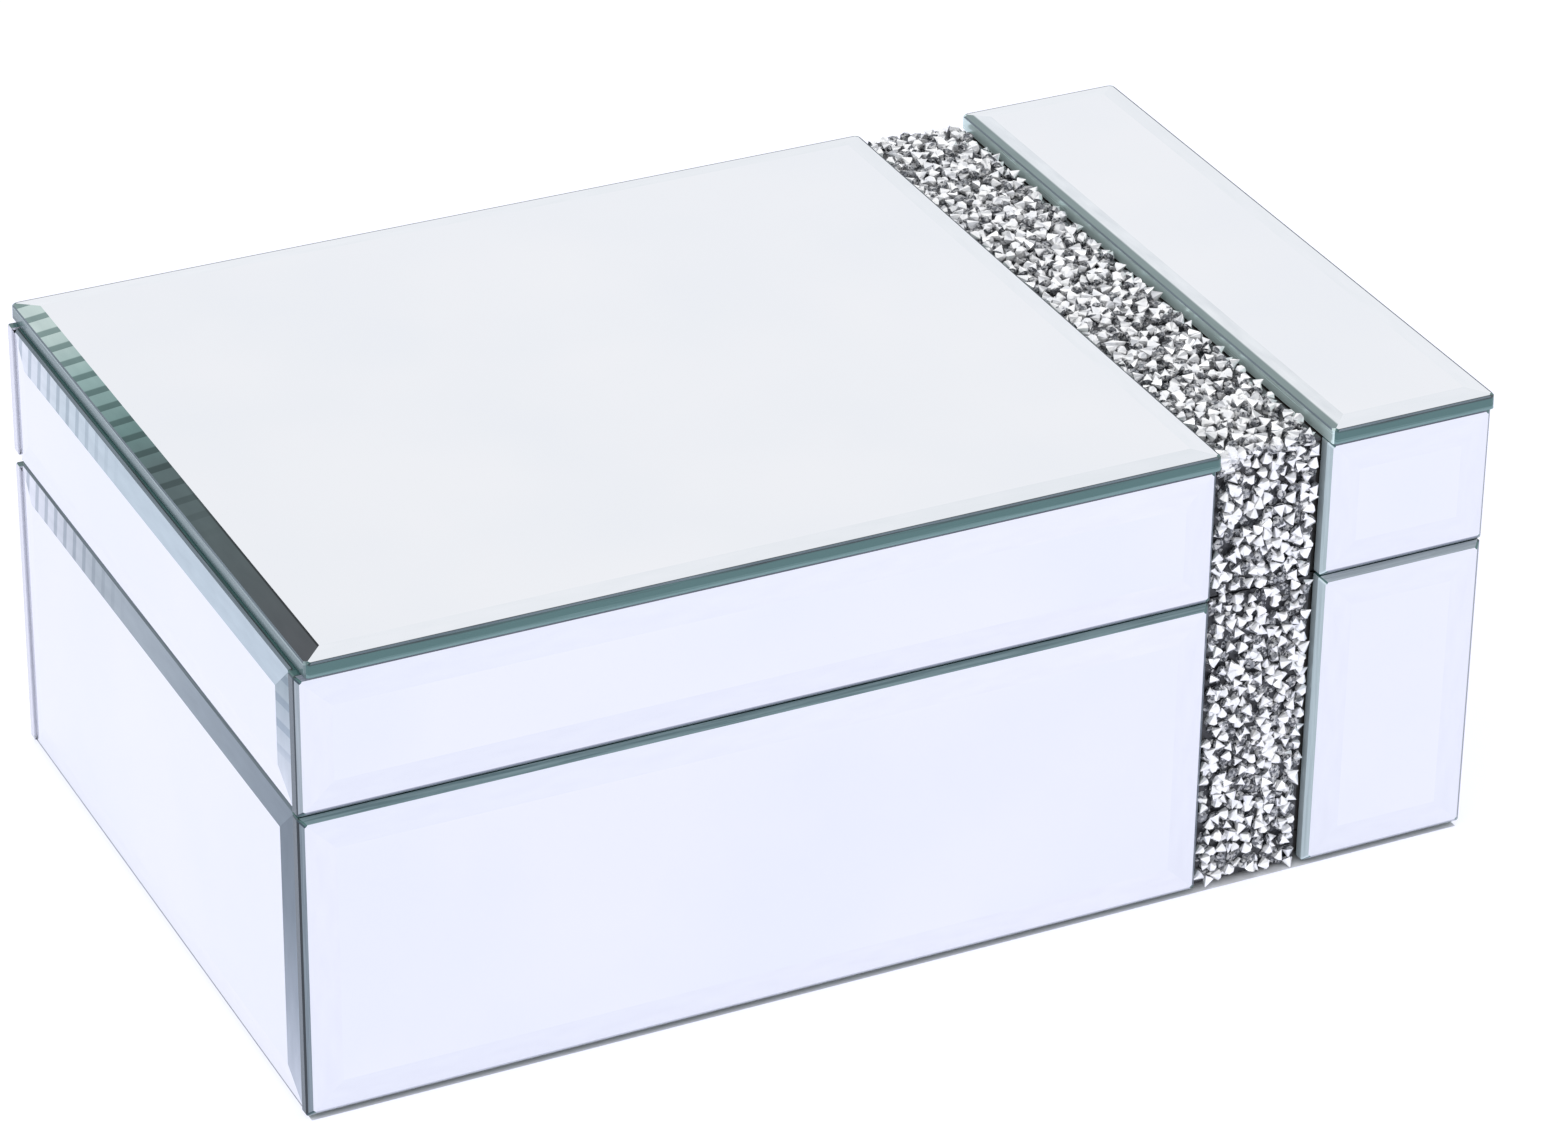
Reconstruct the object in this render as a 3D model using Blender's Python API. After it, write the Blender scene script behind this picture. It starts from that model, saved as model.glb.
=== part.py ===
"""Mirrored vanity trinket box with a hinged lid and a band of crushed crystals.

A board box and a board lid are clad outside with bevelled mirror plates, lined with velvet, and
joined by two small butt hinges along the back of the seam. The crystal band runs over the lid and
down the front, near the right end. Lengths are in millimetres and become metres in mm().
"""

import math
import random

import bmesh
import bpy
from mathutils import Matrix, Vector

# Whole box.
WIDTH = 250.0
DEPTH = 154.0
SEAM_Z = 66.0
PLATE_TOP_Z = 99.6
GAP = 0.3
SEAM_GAP = 0.4

# Mirror plates.
GLASS = 3.0
PLATE_BEVEL = 6.0
PLATE_RISE = 0.45
TOP_RISE = 0.5
ARRIS = 0.8
PLATE_CORNER = 1.2
RIM_REACH = 0.25
TOP_OVERHANG = 0.9
TOP_INSET_LEFT = 1.6
TOP_INSET_RIGHT = 0.4
GLASS_FOOT_Z = 0.7

# Boards and cover felt.
BOARD = 6.0
FLOOR_BOARD = 5.0
FELT = 1.3
FELT_MARGIN = 2.0
FELT_EDGE = 0.39

# Crystal band, measured along the width from the left end.
BAND_LEFT = 189.0
BAND_RIGHT = 213.4
BAND_BED = 22.8
BAND_THICK = 1.6
STONE_PITCH = 2.1
STONE_LOW = 0.5
STONE_HIGH = 0.9
STONE_SHIFT = 0.25
STONE_SEED = 7
BAND_SIDE_GAP = 0.35

# Velvet lining.
LINER = 1.6
PAD = 2.6
PAD_EDGE = 0.8
LINER_EDGE = 0.4
LINER_BELOW_RIM = 0.6

# Hinges.
HINGE_X = 78.0
LEAF_WIDTH = 25.0
LEAF = 0.8
LEAF_REACH = 8.6
AXIS_BEHIND = 2.35
KNUCKLE_RADIUS = 2.0
PIN_RADIUS = 0.95
PIN_HEAD_RADIUS = 1.6
PIN_HEAD = 0.7
PIN_CROWN_RADIUS = 1.12
MIDDLE_KNUCKLE = 8.0
SCREW_SPACING = 15.0
SCREW_INSET = 6.3
SCREW_LENGTH = 5.5
SHANK_RADIUS = 0.8
POINT_RADIUS = 0.36
POINT = 1.0
HEAD_RADIUS = 1.5
HEAD = 0.7
HEAD_SUNK = 0.05
DRIVE_SLOT = 0.35
DRIVE_LENGTH = 1.65
DRIVE_DEPTH = 0.4
ROUND_STEPS = 24
SMALL_STEPS = 16
CUT_PAST = 1.0

# Derived planes. The overhang in front and the hinge barrels behind share the depth evenly.
AXIS_REACH = AXIS_BEHIND + KNUCKLE_RADIUS
FRONT_Y = -(DEPTH + TOP_OVERHANG + AXIS_REACH) / 2 + TOP_OVERHANG
BACK_Y = FRONT_Y + DEPTH
LEFT_X = -WIDTH / 2
RIGHT_X = WIDTH / 2
SHELL = GLASS + GAP
INNER = SHELL + BOARD
BASE_TOP = SEAM_Z - SEAM_GAP / 2
LID_FOOT = SEAM_Z + SEAM_GAP / 2
TOP_PLATE_Z = PLATE_TOP_Z - TOP_RISE - GLASS
LID_TOP = TOP_PLATE_Z - GAP
FLOOR_Z = FELT + GAP
FLOOR_TOP = FLOOR_Z + FLOOR_BOARD
LID_BOARD_Z = LID_TOP - FLOOR_BOARD
LEAF_Z = SEAM_GAP / 2 + LEAF
GLASS_BACK_DROP = LEAF_Z - SEAM_GAP / 2 + GAP
AXIS_Y = BACK_Y + AXIS_BEHIND


def mm(value):
    """A length or a tuple of lengths in metres."""
    if isinstance(value, (int, float)):
        return value * 0.001
    return tuple(v * 0.001 for v in value)


class Parts:
    """The collections, the lid's axis and the materials shared by the makers."""

    def __init__(self):
        for item in list(bpy.data.objects):
            bpy.data.objects.remove(item, do_unlink=True)
        scene = bpy.context.scene.collection
        self.solids = bpy.data.collections.new("trinket_box")
        self.cutters = bpy.data.collections.new("cutters")
        scene.children.link(self.solids)
        scene.children.link(self.cutters)
        self.lid = bpy.data.objects.new("lid_axis", None)
        self.lid.location = mm((0.0, AXIS_Y, SEAM_Z))
        self.solids.objects.link(self.lid)

    def add(self, name, mesh, finish, lid=False, location=(0.0, 0.0, 0.0)):
        """One named solid with its own material, hung on the lid's axis where it rides the lid."""
        piece = bpy.data.objects.new(name, mesh)
        piece.location = location
        self.solids.objects.link(piece)
        piece.data.materials.append(coloured(name, *finish))
        if lid:
            piece.parent = self.lid
            piece.matrix_parent_inverse = Matrix.Translation(-self.lid.location)
        return piece

    def cutter(self, name, mesh, location=(0.0, 0.0, 0.0)):
        """A hidden tool for Boolean modifiers."""
        tool = bpy.data.objects.new(name, mesh)
        tool.location = location
        tool.hide_render = True
        tool.display_type = "WIRE"
        self.cutters.objects.link(tool)
        return tool


def coloured(name, colour, metallic, roughness):
    """A Principled material of the piece's own."""
    material = bpy.data.materials.new(f"{name}_finish")
    material.use_nodes = True
    shader = material.node_tree.nodes["Principled BSDF"]
    shader.inputs["Base Color"].default_value = (*colour, 1.0)
    shader.inputs["Metallic"].default_value = metallic
    shader.inputs["Roughness"].default_value = roughness
    return material


MIRROR = ((0.86, 0.88, 0.9), 1.0, 0.03)
BLACK_BOARD = ((0.012, 0.010, 0.009), 0.0, 0.6)
VELVET = ((0.02, 0.02, 0.022), 0.0, 0.9)
CRYSTAL = ((0.75, 0.76, 0.78), 0.6, 0.2)
NICKEL = ((0.62, 0.6, 0.57), 1.0, 0.25)
COVER_FELT = ((0.015, 0.015, 0.016), 0.0, 0.95)


def finished(name, work):
    """A mesh made from a bmesh, which is freed."""
    mesh = bpy.data.meshes.new(name)
    bmesh.ops.recalc_face_normals(work, faces=work.faces)
    work.to_mesh(mesh)
    work.free()
    return mesh


def block(low, high):
    """A bmesh box between two corners, in millimetres."""
    work = bmesh.new()
    bmesh.ops.create_cube(work, size=1.0)
    size = Vector(mm(tuple(h - l for l, h in zip(low, high))))
    middle = Vector(mm(tuple((h + l) / 2 for l, h in zip(low, high))))
    bmesh.ops.scale(work, vec=size, verts=work.verts)
    bmesh.ops.translate(work, vec=middle, verts=work.verts)
    return work


def box(name, low, high):
    """A box mesh between two corners."""
    return finished(name, block(low, high))


def rounded(name, low, high, edge):
    """A box mesh whose edges are all rounded."""
    work = block(low, high)
    bmesh.ops.bevel(work, geom=work.edges[:], offset=mm(edge), segments=2, profile=0.5,
                    affect="EDGES")
    return finished(name, work)


def turned(name, profile, steps, along, middle):
    """A solid of revolution along X or Z; middle holds its axis's other two places.

    profile runs from the axis at one end to the axis at the other, as (radius, station) pairs.
    """
    work = bmesh.new()
    points = [work.verts.new(mm((float(radius), 0.0, float(station)))) for radius, station in profile]
    edges = [work.edges.new(pair) for pair in zip(points, points[1:])]
    bmesh.ops.spin(work, geom=points + edges, cent=(0, 0, 0), axis=(0, 0, 1), dvec=(0, 0, 0),
                   angle=math.tau, steps=steps, use_merge=True)
    bmesh.ops.remove_doubles(work, verts=work.verts[:], dist=1e-6)
    if along == "X":
        turn = Matrix.Rotation(math.radians(90.0), 4, "Y")
        shift = Matrix.Translation(Vector(mm((0.0, *middle))))
    else:
        turn = Matrix.Identity(4)
        shift = Matrix.Translation(Vector(mm((*middle, 0.0))))
    bmesh.ops.transform(work, matrix=shift @ turn, verts=work.verts)
    return finished(name, work)


def rod(name, radius, start, end, middle):
    """A straight round bar along X."""
    return turned(name, ((0, start), (radius, start), (radius, end), (0, end)), ROUND_STEPS, "X",
                  middle)


def facing(outward, up):
    """The turn that takes +Z outward and +Y up."""
    across = Vector(up).cross(Vector(outward))
    return Matrix((across, Vector(up), Vector(outward))).transposed().to_4x4()


def plate(name, size, rise, outward, up):
    """A bevelled mirror plate about its own middle, its silvered back on the origin's plane.

    size is width and height across the face, outward the way the face looks and up the way the
    height runs. The ground bevel slopes inward all round, the corners are rounded and the outer
    edge has a narrow arris.
    """
    work = block((-size[0] / 2, -size[1] / 2, 0.0), (size[0] / 2, size[1] / 2, GLASS))
    front = max(work.faces, key=lambda face: face.calc_center_median().z)
    bmesh.ops.inset_region(work, faces=[front], thickness=mm(PLATE_BEVEL), depth=mm(rise),
                           use_even_offset=True)
    corners = [e for e in work.edges
               if abs(e.verts[0].co.z - e.verts[1].co.z) > mm(GLASS - RIM_REACH)]
    bmesh.ops.bevel(work, geom=corners, offset=mm(PLATE_CORNER), segments=3, profile=0.5,
                    affect="EDGES")
    rim = [e for e in work.edges
           if all(abs(v.co.z - mm(GLASS)) < mm(RIM_REACH) for v in e.verts)
           and len(e.link_faces) == 2 and min(abs(f.normal.z) for f in e.link_faces) < 0.2]
    bmesh.ops.bevel(work, geom=rim, offset=mm(ARRIS), segments=1, profile=0.5, affect="EDGES")
    bmesh.ops.transform(work, matrix=facing(outward, up), verts=work.verts)
    return finished(name, work)


def crystal_strip(name, size, outward, up):
    """A strip of point-up crushed stones on a thin bed, the bed's back on the origin's plane.

    size is width and height across the strip. The stones stand in cells of one pitch, each with a
    point shifted and raised by its own amount.
    """
    chance = random.Random(STONE_SEED)
    cells = [max(1, round(length / STONE_PITCH)) for length in size]
    bed = mm(BAND_THICK - STONE_HIGH)
    work = bmesh.new()
    bmesh.ops.create_grid(work, x_segments=cells[0], y_segments=cells[1], size=0.5)
    bmesh.ops.scale(work, vec=Vector((*mm(tuple(size)), 1.0)), verts=work.verts)
    raised = bmesh.ops.extrude_face_region(work, geom=work.faces[:])["geom"]
    tops = [item for item in raised if isinstance(item, bmesh.types.BMFace)]
    bmesh.ops.translate(work, vec=Vector((0, 0, bed)),
                        verts=[item for item in raised if isinstance(item, bmesh.types.BMVert)])
    points = bmesh.ops.poke(work, faces=tops)["verts"]
    reach = STONE_PITCH * STONE_SHIFT
    for point in points:
        shift = (chance.uniform(-reach, reach), chance.uniform(-reach, reach),
                 chance.uniform(STONE_LOW, STONE_HIGH))
        point.co += Vector(mm(shift))
    flat = [e for e in work.edges if all(abs(v.co.z) < 1e-7 for v in e.verts)
            and all(all(abs(v.co.z) < 1e-7 for v in f.verts) for f in e.link_faces)]
    bmesh.ops.dissolve_edges(work, edges=flat, use_verts=True)
    bmesh.ops.transform(work, matrix=facing(outward, up), verts=work.verts)
    return finished(name, work)


def from_left(distance):
    """World x of a distance from the box's left end."""
    return LEFT_X + distance


def spans():
    """The two stretches of plate beside the crystal band, as distances from the left end."""
    return {"left": (0.0, BAND_LEFT), "right": (BAND_RIGHT, WIDTH)}


def make_top_plates(parts):
    """The lid's two top plates, one on either side of the crystal band."""
    trims = {"left": (TOP_INSET_LEFT, 0.0), "right": (0.0, TOP_INSET_RIGHT)}
    for side, (start, end) in spans().items():
        low, high = start + trims[side][0], end - trims[side][1]
        name = f"mirror_lid_top_{side}"
        mesh = plate(name, (high - low, DEPTH + 2 * TOP_OVERHANG), TOP_RISE, (0, 0, 1), (0, 1, 0))
        place = mm((from_left((low + high) / 2), (FRONT_Y + BACK_Y) / 2, TOP_PLATE_Z))
        parts.add(name, mesh, MIRROR, lid=True, location=place)


def make_front_plates(parts, section, bottom, top, lid):
    """The two front plates of the lid or the base. They cover the side plates' front edges."""
    for side, (start, end) in spans().items():
        name = f"mirror_{section}_front_{side}"
        mesh = plate(name, (end - start, top - bottom), PLATE_RISE, (0, -1, 0), (0, 0, 1))
        place = mm((from_left((start + end) / 2), FRONT_Y + GLASS + PLATE_RISE, (bottom + top) / 2))
        parts.add(name, mesh, MIRROR, lid=lid, location=place)


def make_side_plates(parts, section, bottom, top, lid):
    """The left and right plates of the lid or the base, between the front and back plates."""
    cover = GLASS + PLATE_RISE + GAP
    length = DEPTH - 2 * cover
    for side, way in (("left", -1), ("right", 1)):
        name = f"mirror_{section}_{side}"
        mesh = plate(name, (length, top - bottom), PLATE_RISE, (way, 0, 0), (0, 0, 1))
        place = mm((way * (WIDTH / 2 - GLASS - PLATE_RISE), FRONT_Y + cover + length / 2,
                    (bottom + top) / 2))
        parts.add(name, mesh, MIRROR, lid=lid, location=place)


def make_back_plate(parts, section, bottom, top, lid):
    """The single plate across the back of the lid or the base."""
    name = f"mirror_{section}_back"
    mesh = plate(name, (WIDTH, top - bottom), PLATE_RISE, (0, 1, 0), (0, 0, 1))
    place = mm((0.0, BACK_Y - GLASS - PLATE_RISE, (bottom + top) / 2))
    parts.add(name, mesh, MIRROR, lid=lid, location=place)


def make_band(parts):
    """Three strips of crushed crystal in the groove between the plates."""
    middle = from_left(BAND_LEFT + BAND_SIDE_GAP + BAND_BED / 2)
    back = FRONT_Y + GLASS + PLATE_RISE
    outer = back - BAND_THICK
    top = parts.add("crystal_band_lid_top", crystal_strip(
        "crystal_band_lid_top", (BAND_BED, BACK_Y - outer), (0, 0, 1), (0, 1, 0)), CRYSTAL, lid=True)
    top.location = mm((middle, (BACK_Y + outer) / 2, TOP_PLATE_Z))
    for section, low, high in (("lid", LID_FOOT, LID_TOP), ("base", GLASS_FOOT_Z, BASE_TOP)):
        name = f"crystal_band_{section}_front"
        mesh = crystal_strip(name, (BAND_BED, high - low), (0, -1, 0), (0, 0, 1))
        strip = parts.add(name, mesh, CRYSTAL, lid=section == "lid")
        strip.location = mm((middle, back, (low + high) / 2))


def walls(inset, thickness, bottom, top, lap):
    """Boxes of four upright walls: front and back run full width, the sides stand between.

    inset is the walls' outer face in from the box's sides, lap the gap at the corners.
    """
    x0, x1 = LEFT_X + inset, RIGHT_X - inset
    y0, y1 = FRONT_Y + inset, BACK_Y - inset
    between = (y0 + thickness + lap, y1 - thickness - lap)
    return {
        "front": ((x0, y0, bottom), (x1, y0 + thickness, top)),
        "back": ((x0, y1 - thickness, bottom), (x1, y1, top)),
        "left": ((x0, between[0], bottom), (x0 + thickness, between[1], top)),
        "right": ((x1 - thickness, between[0], bottom), (x1, between[1], top)),
    }


def make_boards(parts):
    """The base and lid boxes behind the plates, and the felt under the base."""
    back = SHELL + PLATE_RISE
    x0, x1 = LEFT_X + back, RIGHT_X - back
    y0, y1 = FRONT_Y + back, BACK_Y - back
    floor = box("board_base_floor", (x0, y0, FLOOR_Z), (x1, y1, FLOOR_TOP))
    parts.add("board_base_floor", floor, BLACK_BOARD)
    roof = box("board_lid_top", (x0, y0, LID_BOARD_Z), (x1, y1, LID_TOP))
    parts.add("board_lid_top", roof, BLACK_BOARD, lid=True)
    stacks = (("base", FLOOR_TOP + GAP, BASE_TOP, False), ("lid", LID_FOOT, LID_BOARD_Z - GAP, True))
    made = {}
    for section, bottom, top, lid in stacks:
        for side, (low, high) in walls(back, BOARD, bottom, top, GAP).items():
            name = f"board_{section}_{side}"
            made[name] = parts.add(name, box(name, low, high), BLACK_BOARD, lid=lid)
    m = FELT_MARGIN
    felt = rounded("felt_underside", (x0 + m, y0 + m, 0.0), (x1 - m, y1 - m, FELT), FELT_EDGE)
    parts.add("felt_underside", felt, COVER_FELT)
    return made


def make_lining(parts):
    """Velvet-covered cards on the walls and padded velvet on the floor and under the lid's top."""
    inner = INNER + PLATE_RISE + GAP
    x0, x1 = LEFT_X + inner, RIGHT_X - inner
    y0, y1 = FRONT_Y + inner, BACK_Y - inner
    floor = (FLOOR_TOP + GAP, FLOOR_TOP + GAP + PAD)
    roof = (LID_BOARD_Z - GAP - PAD, LID_BOARD_Z - GAP)
    for name, (low, high), lid in (("velvet_base_pad", floor, False), ("velvet_lid_pad", roof, True)):
        parts.add(name, rounded(name, (x0, y0, low), (x1, y1, high), PAD_EDGE), VELVET, lid=lid)
    stacks = (("base", floor[1] + GAP, BASE_TOP - LINER_BELOW_RIM, False),
              ("lid", LID_FOOT + LINER_BELOW_RIM, roof[0] - GAP, True))
    for section, bottom, top, lid in stacks:
        for side, (low, high) in walls(inner, LINER, bottom, top, GAP).items():
            name = f"velvet_{section}_{side}"
            parts.add(name, rounded(name, low, high, LINER_EDGE), VELVET, lid=lid)


def use_boolean(piece, tool, operation):
    """An exact Boolean of one tool with the piece."""
    step = piece.modifiers.new(f"{operation.lower()}_{tool.name}", "BOOLEAN")
    step.operation = operation
    step.solver = "EXACT"
    step.object = tool


def screw_places(centre):
    """Where one leaf's two screws stand, in millimetres."""
    return [(centre + side * SCREW_SPACING / 2, BACK_Y - SCREW_INSET) for side in (-1, 1)]


def make_leaf(parts, board, section, label, centre):
    """One hinge leaf with its knuckles, let into the board's edge.

    The base leaf carries the two outer knuckles and the lid leaf the middle one.
    """
    way = -1 if section == "base" else 1
    half, middle = LEAF_WIDTH / 2, MIDDLE_KNUCKLE / 2
    levels = sorted((SEAM_Z + way * SEAM_GAP / 2, SEAM_Z + way * LEAF_Z))
    name = f"hinge_{label}_{section}_leaf"
    low = (centre - half, BACK_Y - LEAF_REACH, levels[0])
    leaf = box(name, low, (centre + half, AXIS_Y, levels[1]))
    piece = parts.add(name, leaf, NICKEL, lid=section == "lid")
    runs = ([(centre - half, centre - middle - GAP), (centre + middle + GAP, centre + half)]
            if section == "base" else [(centre - middle, centre + middle)])
    axis = (AXIS_Y, SEAM_Z)
    clear = KNUCKLE_RADIUS + GAP
    others = ([(centre - middle - GAP, centre + middle + GAP)] if section == "base" else
              [(centre - half - CUT_PAST, centre - middle), (centre + middle, centre + half + CUT_PAST)])
    for index, (start, end) in enumerate(others):
        tool = rod(f"{name}_relief_{index}", clear, start, end, axis)
        use_boolean(piece, parts.cutter(f"{name}_relief_{index}", tool), "DIFFERENCE")
    for index, (start, end) in enumerate(runs):
        tool = rod(f"{name}_knuckle_{index}", KNUCKLE_RADIUS, start, end, axis)
        use_boolean(piece, parts.cutter(f"{name}_knuckle_{index}", tool), "UNION")
    bore = rod(f"{name}_bore", PIN_RADIUS + GAP, centre - half - CUT_PAST,
               centre + half + CUT_PAST, axis)
    use_boolean(piece, parts.cutter(f"{name}_bore", bore), "DIFFERENCE")
    pocket_high = SEAM_Z + way * (LEAF_Z + GAP)
    pocket = box(f"{name}_pocket", (centre - half - GAP, BACK_Y - LEAF_REACH - GAP,
                                    min(SEAM_Z, pocket_high)),
                 (centre + half + GAP, BACK_Y, max(SEAM_Z, pocket_high)))
    use_boolean(board, parts.cutter(f"{name}_pocket", pocket), "DIFFERENCE")
    for index, (x, y) in enumerate(screw_places(centre)):
        make_screw(parts, piece, board, f"screw_{label}_{section}_{index + 1}", (x, y), way)


def make_screw(parts, leaf, board, name, place, way):
    """A countersunk screw with its seat in the leaf and its pilot hole in the board."""
    face = SEAM_Z + way * (SEAM_GAP / 2 + HEAD_SUNK)
    neck, tip = face + way * HEAD, face + way * SCREW_LENGTH
    body = ((0, face), (HEAD_RADIUS, face), (SHANK_RADIUS, neck),
            (SHANK_RADIUS, tip - way * POINT), (POINT_RADIUS, tip), (0, tip))
    screw = parts.add(name, turned(name, body, SMALL_STEPS, "Z", place), NICKEL, lid=way > 0)
    levels = sorted((face - way * CUT_PAST, face + way * DRIVE_DEPTH))
    for axis, size in (("x", (DRIVE_LENGTH, DRIVE_SLOT)), ("y", (DRIVE_SLOT, DRIVE_LENGTH))):
        slot = box(f"{name}_slot_{axis}", (place[0] - size[0] / 2, place[1] - size[1] / 2, levels[0]),
                   (place[0] + size[0] / 2, place[1] + size[1] / 2, levels[1]))
        use_boolean(screw, parts.cutter(f"{name}_slot_{axis}", slot), "DIFFERENCE")
    wide, narrow = HEAD_RADIUS + GAP, SHANK_RADIUS + GAP
    room = ((0, SEAM_Z), (wide, SEAM_Z), (wide, face), (narrow, neck), (narrow, tip + way * GAP),
            (0, tip + way * GAP))
    seat = parts.cutter(f"{name}_seat", turned(f"{name}_seat", room, SMALL_STEPS, "Z", place))
    for piece in (leaf, board):
        use_boolean(piece, seat, "DIFFERENCE")


def make_pin(parts, label, centre):
    """The hinge pin with a peened head at each end."""
    reach = LEAF_WIDTH / 2 + GAP
    name = f"hinge_{label}_pin"
    left, right = centre - reach, centre + reach
    body = ((0, left - PIN_HEAD), (PIN_CROWN_RADIUS, left - PIN_HEAD),
            (PIN_HEAD_RADIUS, left - PIN_HEAD / 2),
            (PIN_HEAD_RADIUS, left), (PIN_RADIUS, left), (PIN_RADIUS, right),
            (PIN_HEAD_RADIUS, right), (PIN_HEAD_RADIUS, right + PIN_HEAD / 2),
            (PIN_CROWN_RADIUS, right + PIN_HEAD), (0, right + PIN_HEAD))
    parts.add(name, turned(name, body, ROUND_STEPS, "X", (AXIS_Y, SEAM_Z)), NICKEL)


def make_hinges(parts, boards):
    """The two butt hinges along the back of the seam."""
    for label, centre in (("left", -HINGE_X), ("right", HINGE_X)):
        for section in ("base", "lid"):
            make_leaf(parts, boards[f"board_{section}_back"], section, label, centre)
        make_pin(parts, label, centre)


def main():
    parts = Parts()
    make_top_plates(parts)
    for section, bottom, top, lid in (("lid", LID_FOOT, LID_TOP, True),
                                      ("base", GLASS_FOOT_Z, BASE_TOP, False)):
        make_front_plates(parts, section, bottom, top, lid)
        make_side_plates(parts, section, bottom, top, lid)
    make_back_plate(parts, "lid", LID_FOOT + GLASS_BACK_DROP, LID_TOP, True)
    make_back_plate(parts, "base", GLASS_FOOT_Z, BASE_TOP - GLASS_BACK_DROP, False)
    make_band(parts)
    boards = make_boards(parts)
    make_lining(parts)
    make_hinges(parts, boards)


main()
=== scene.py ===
"""Mirrored vanity trinket box: a board box and hinged lid clad in bevelled mirror plates.

The plates, the crushed-crystal band, the velvet lining, the felt and the hinges are built here on
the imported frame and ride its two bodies, base and lid. Lengths are in metres.
"""

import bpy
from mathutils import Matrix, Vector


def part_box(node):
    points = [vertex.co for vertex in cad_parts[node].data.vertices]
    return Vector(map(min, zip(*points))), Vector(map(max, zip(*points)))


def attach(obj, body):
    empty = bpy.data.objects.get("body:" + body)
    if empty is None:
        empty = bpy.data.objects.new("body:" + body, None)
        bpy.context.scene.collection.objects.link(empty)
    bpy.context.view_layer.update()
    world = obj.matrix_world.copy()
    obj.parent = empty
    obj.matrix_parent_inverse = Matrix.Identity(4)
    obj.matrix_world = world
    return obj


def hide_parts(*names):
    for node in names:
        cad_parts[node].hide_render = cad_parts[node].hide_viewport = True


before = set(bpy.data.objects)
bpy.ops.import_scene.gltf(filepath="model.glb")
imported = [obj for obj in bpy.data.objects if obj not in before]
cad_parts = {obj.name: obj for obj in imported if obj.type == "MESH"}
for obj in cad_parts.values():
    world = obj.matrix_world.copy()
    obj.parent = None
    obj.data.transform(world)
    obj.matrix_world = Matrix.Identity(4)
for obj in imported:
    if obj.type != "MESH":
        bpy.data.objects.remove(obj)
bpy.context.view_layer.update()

import logging
import math
from dataclasses import dataclass, field, replace
from enum import Enum
from typing import Any, Optional

import bmesh
import bpy
from mathutils import Matrix, Vector, noise

log = logging.getLogger("trinket_box")
MM = 0.001
HAIR = 0.001 * MM  # two points this close are one point
SLACK = 0.01 * MM  # a difference in height or place that is too small to count
RUN = "run"  # UV map in metres: along an edge, then across it
LEVEL = 0.9  # a face whose normal has this much Z lies level
WHOLE_BARS = 100.0  # whole bars added to a count of bars, so that it stays above 0


class Body(Enum):
    """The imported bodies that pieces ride."""

    BASE = "base"
    LID = "lid"


class Side(Enum):
    """One side of a plate, as its own x and y run."""

    LEFT = (-1, 0)
    RIGHT = (1, 0)
    BOTTOM = (0, -1)
    TOP = (0, 1)


def linear(code: str) -> tuple[float, float, float, float]:
    """Turn an sRGB hex colour into linear light.

    Args:
        code: six hex digits after a hash sign.

    Returns:
        Red, green and blue in linear light, and an alpha of 1.
    """
    parts = [int(code[i:i + 2], 16) / 255 for i in (1, 3, 5)]
    red, green, blue = (c / 12.92 if c <= 0.04045 else ((c + 0.055) / 1.055) ** 2.4 for c in parts)
    return red, green, blue, 1.0


def add_node(tree: bpy.types.NodeTree, kind: str, settings: Optional[dict[str, Any]] = None,
             inputs: Optional[dict[Any, Any]] = None) -> bpy.types.Node:
    """Add one node with its settings, and its inputs as values or as links from sockets.

    Args:
        tree: the node tree.
        kind: the node's type.
        settings: the node's own properties.
        inputs: socket name or index to a value or to the socket that feeds it.

    Returns:
        The new node.
    """
    node = tree.nodes.new(kind)
    for name, value in (settings or {}).items():
        setattr(node, name, value)
    for key, value in (inputs or {}).items():
        if isinstance(value, bpy.types.NodeSocket):
            tree.links.new(value, node.inputs[key])
        else:
            node.inputs[key].default_value = value
    return node


def ramp(tree: bpy.types.NodeTree, factor: bpy.types.NodeSocket,
         stops: tuple[tuple[float, str], ...]) -> bpy.types.NodeSocket:
    """Colour a factor through a ramp.

    Args:
        tree: the node tree.
        factor: the socket with the factor.
        stops: positions with their hex colours, rising.

    Returns:
        The ramp's colour socket.
    """
    node = add_node(tree, "ShaderNodeValToRGB", inputs={"Fac": factor})
    elements = node.color_ramp.elements
    for index, (place, code) in enumerate(stops):
        element = elements[index] if index < 2 else elements.new(place)
        element.position, element.color = place, linear(code)
    return node.outputs["Color"]


# ---------------------------------------------------------------------------- finishes


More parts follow.
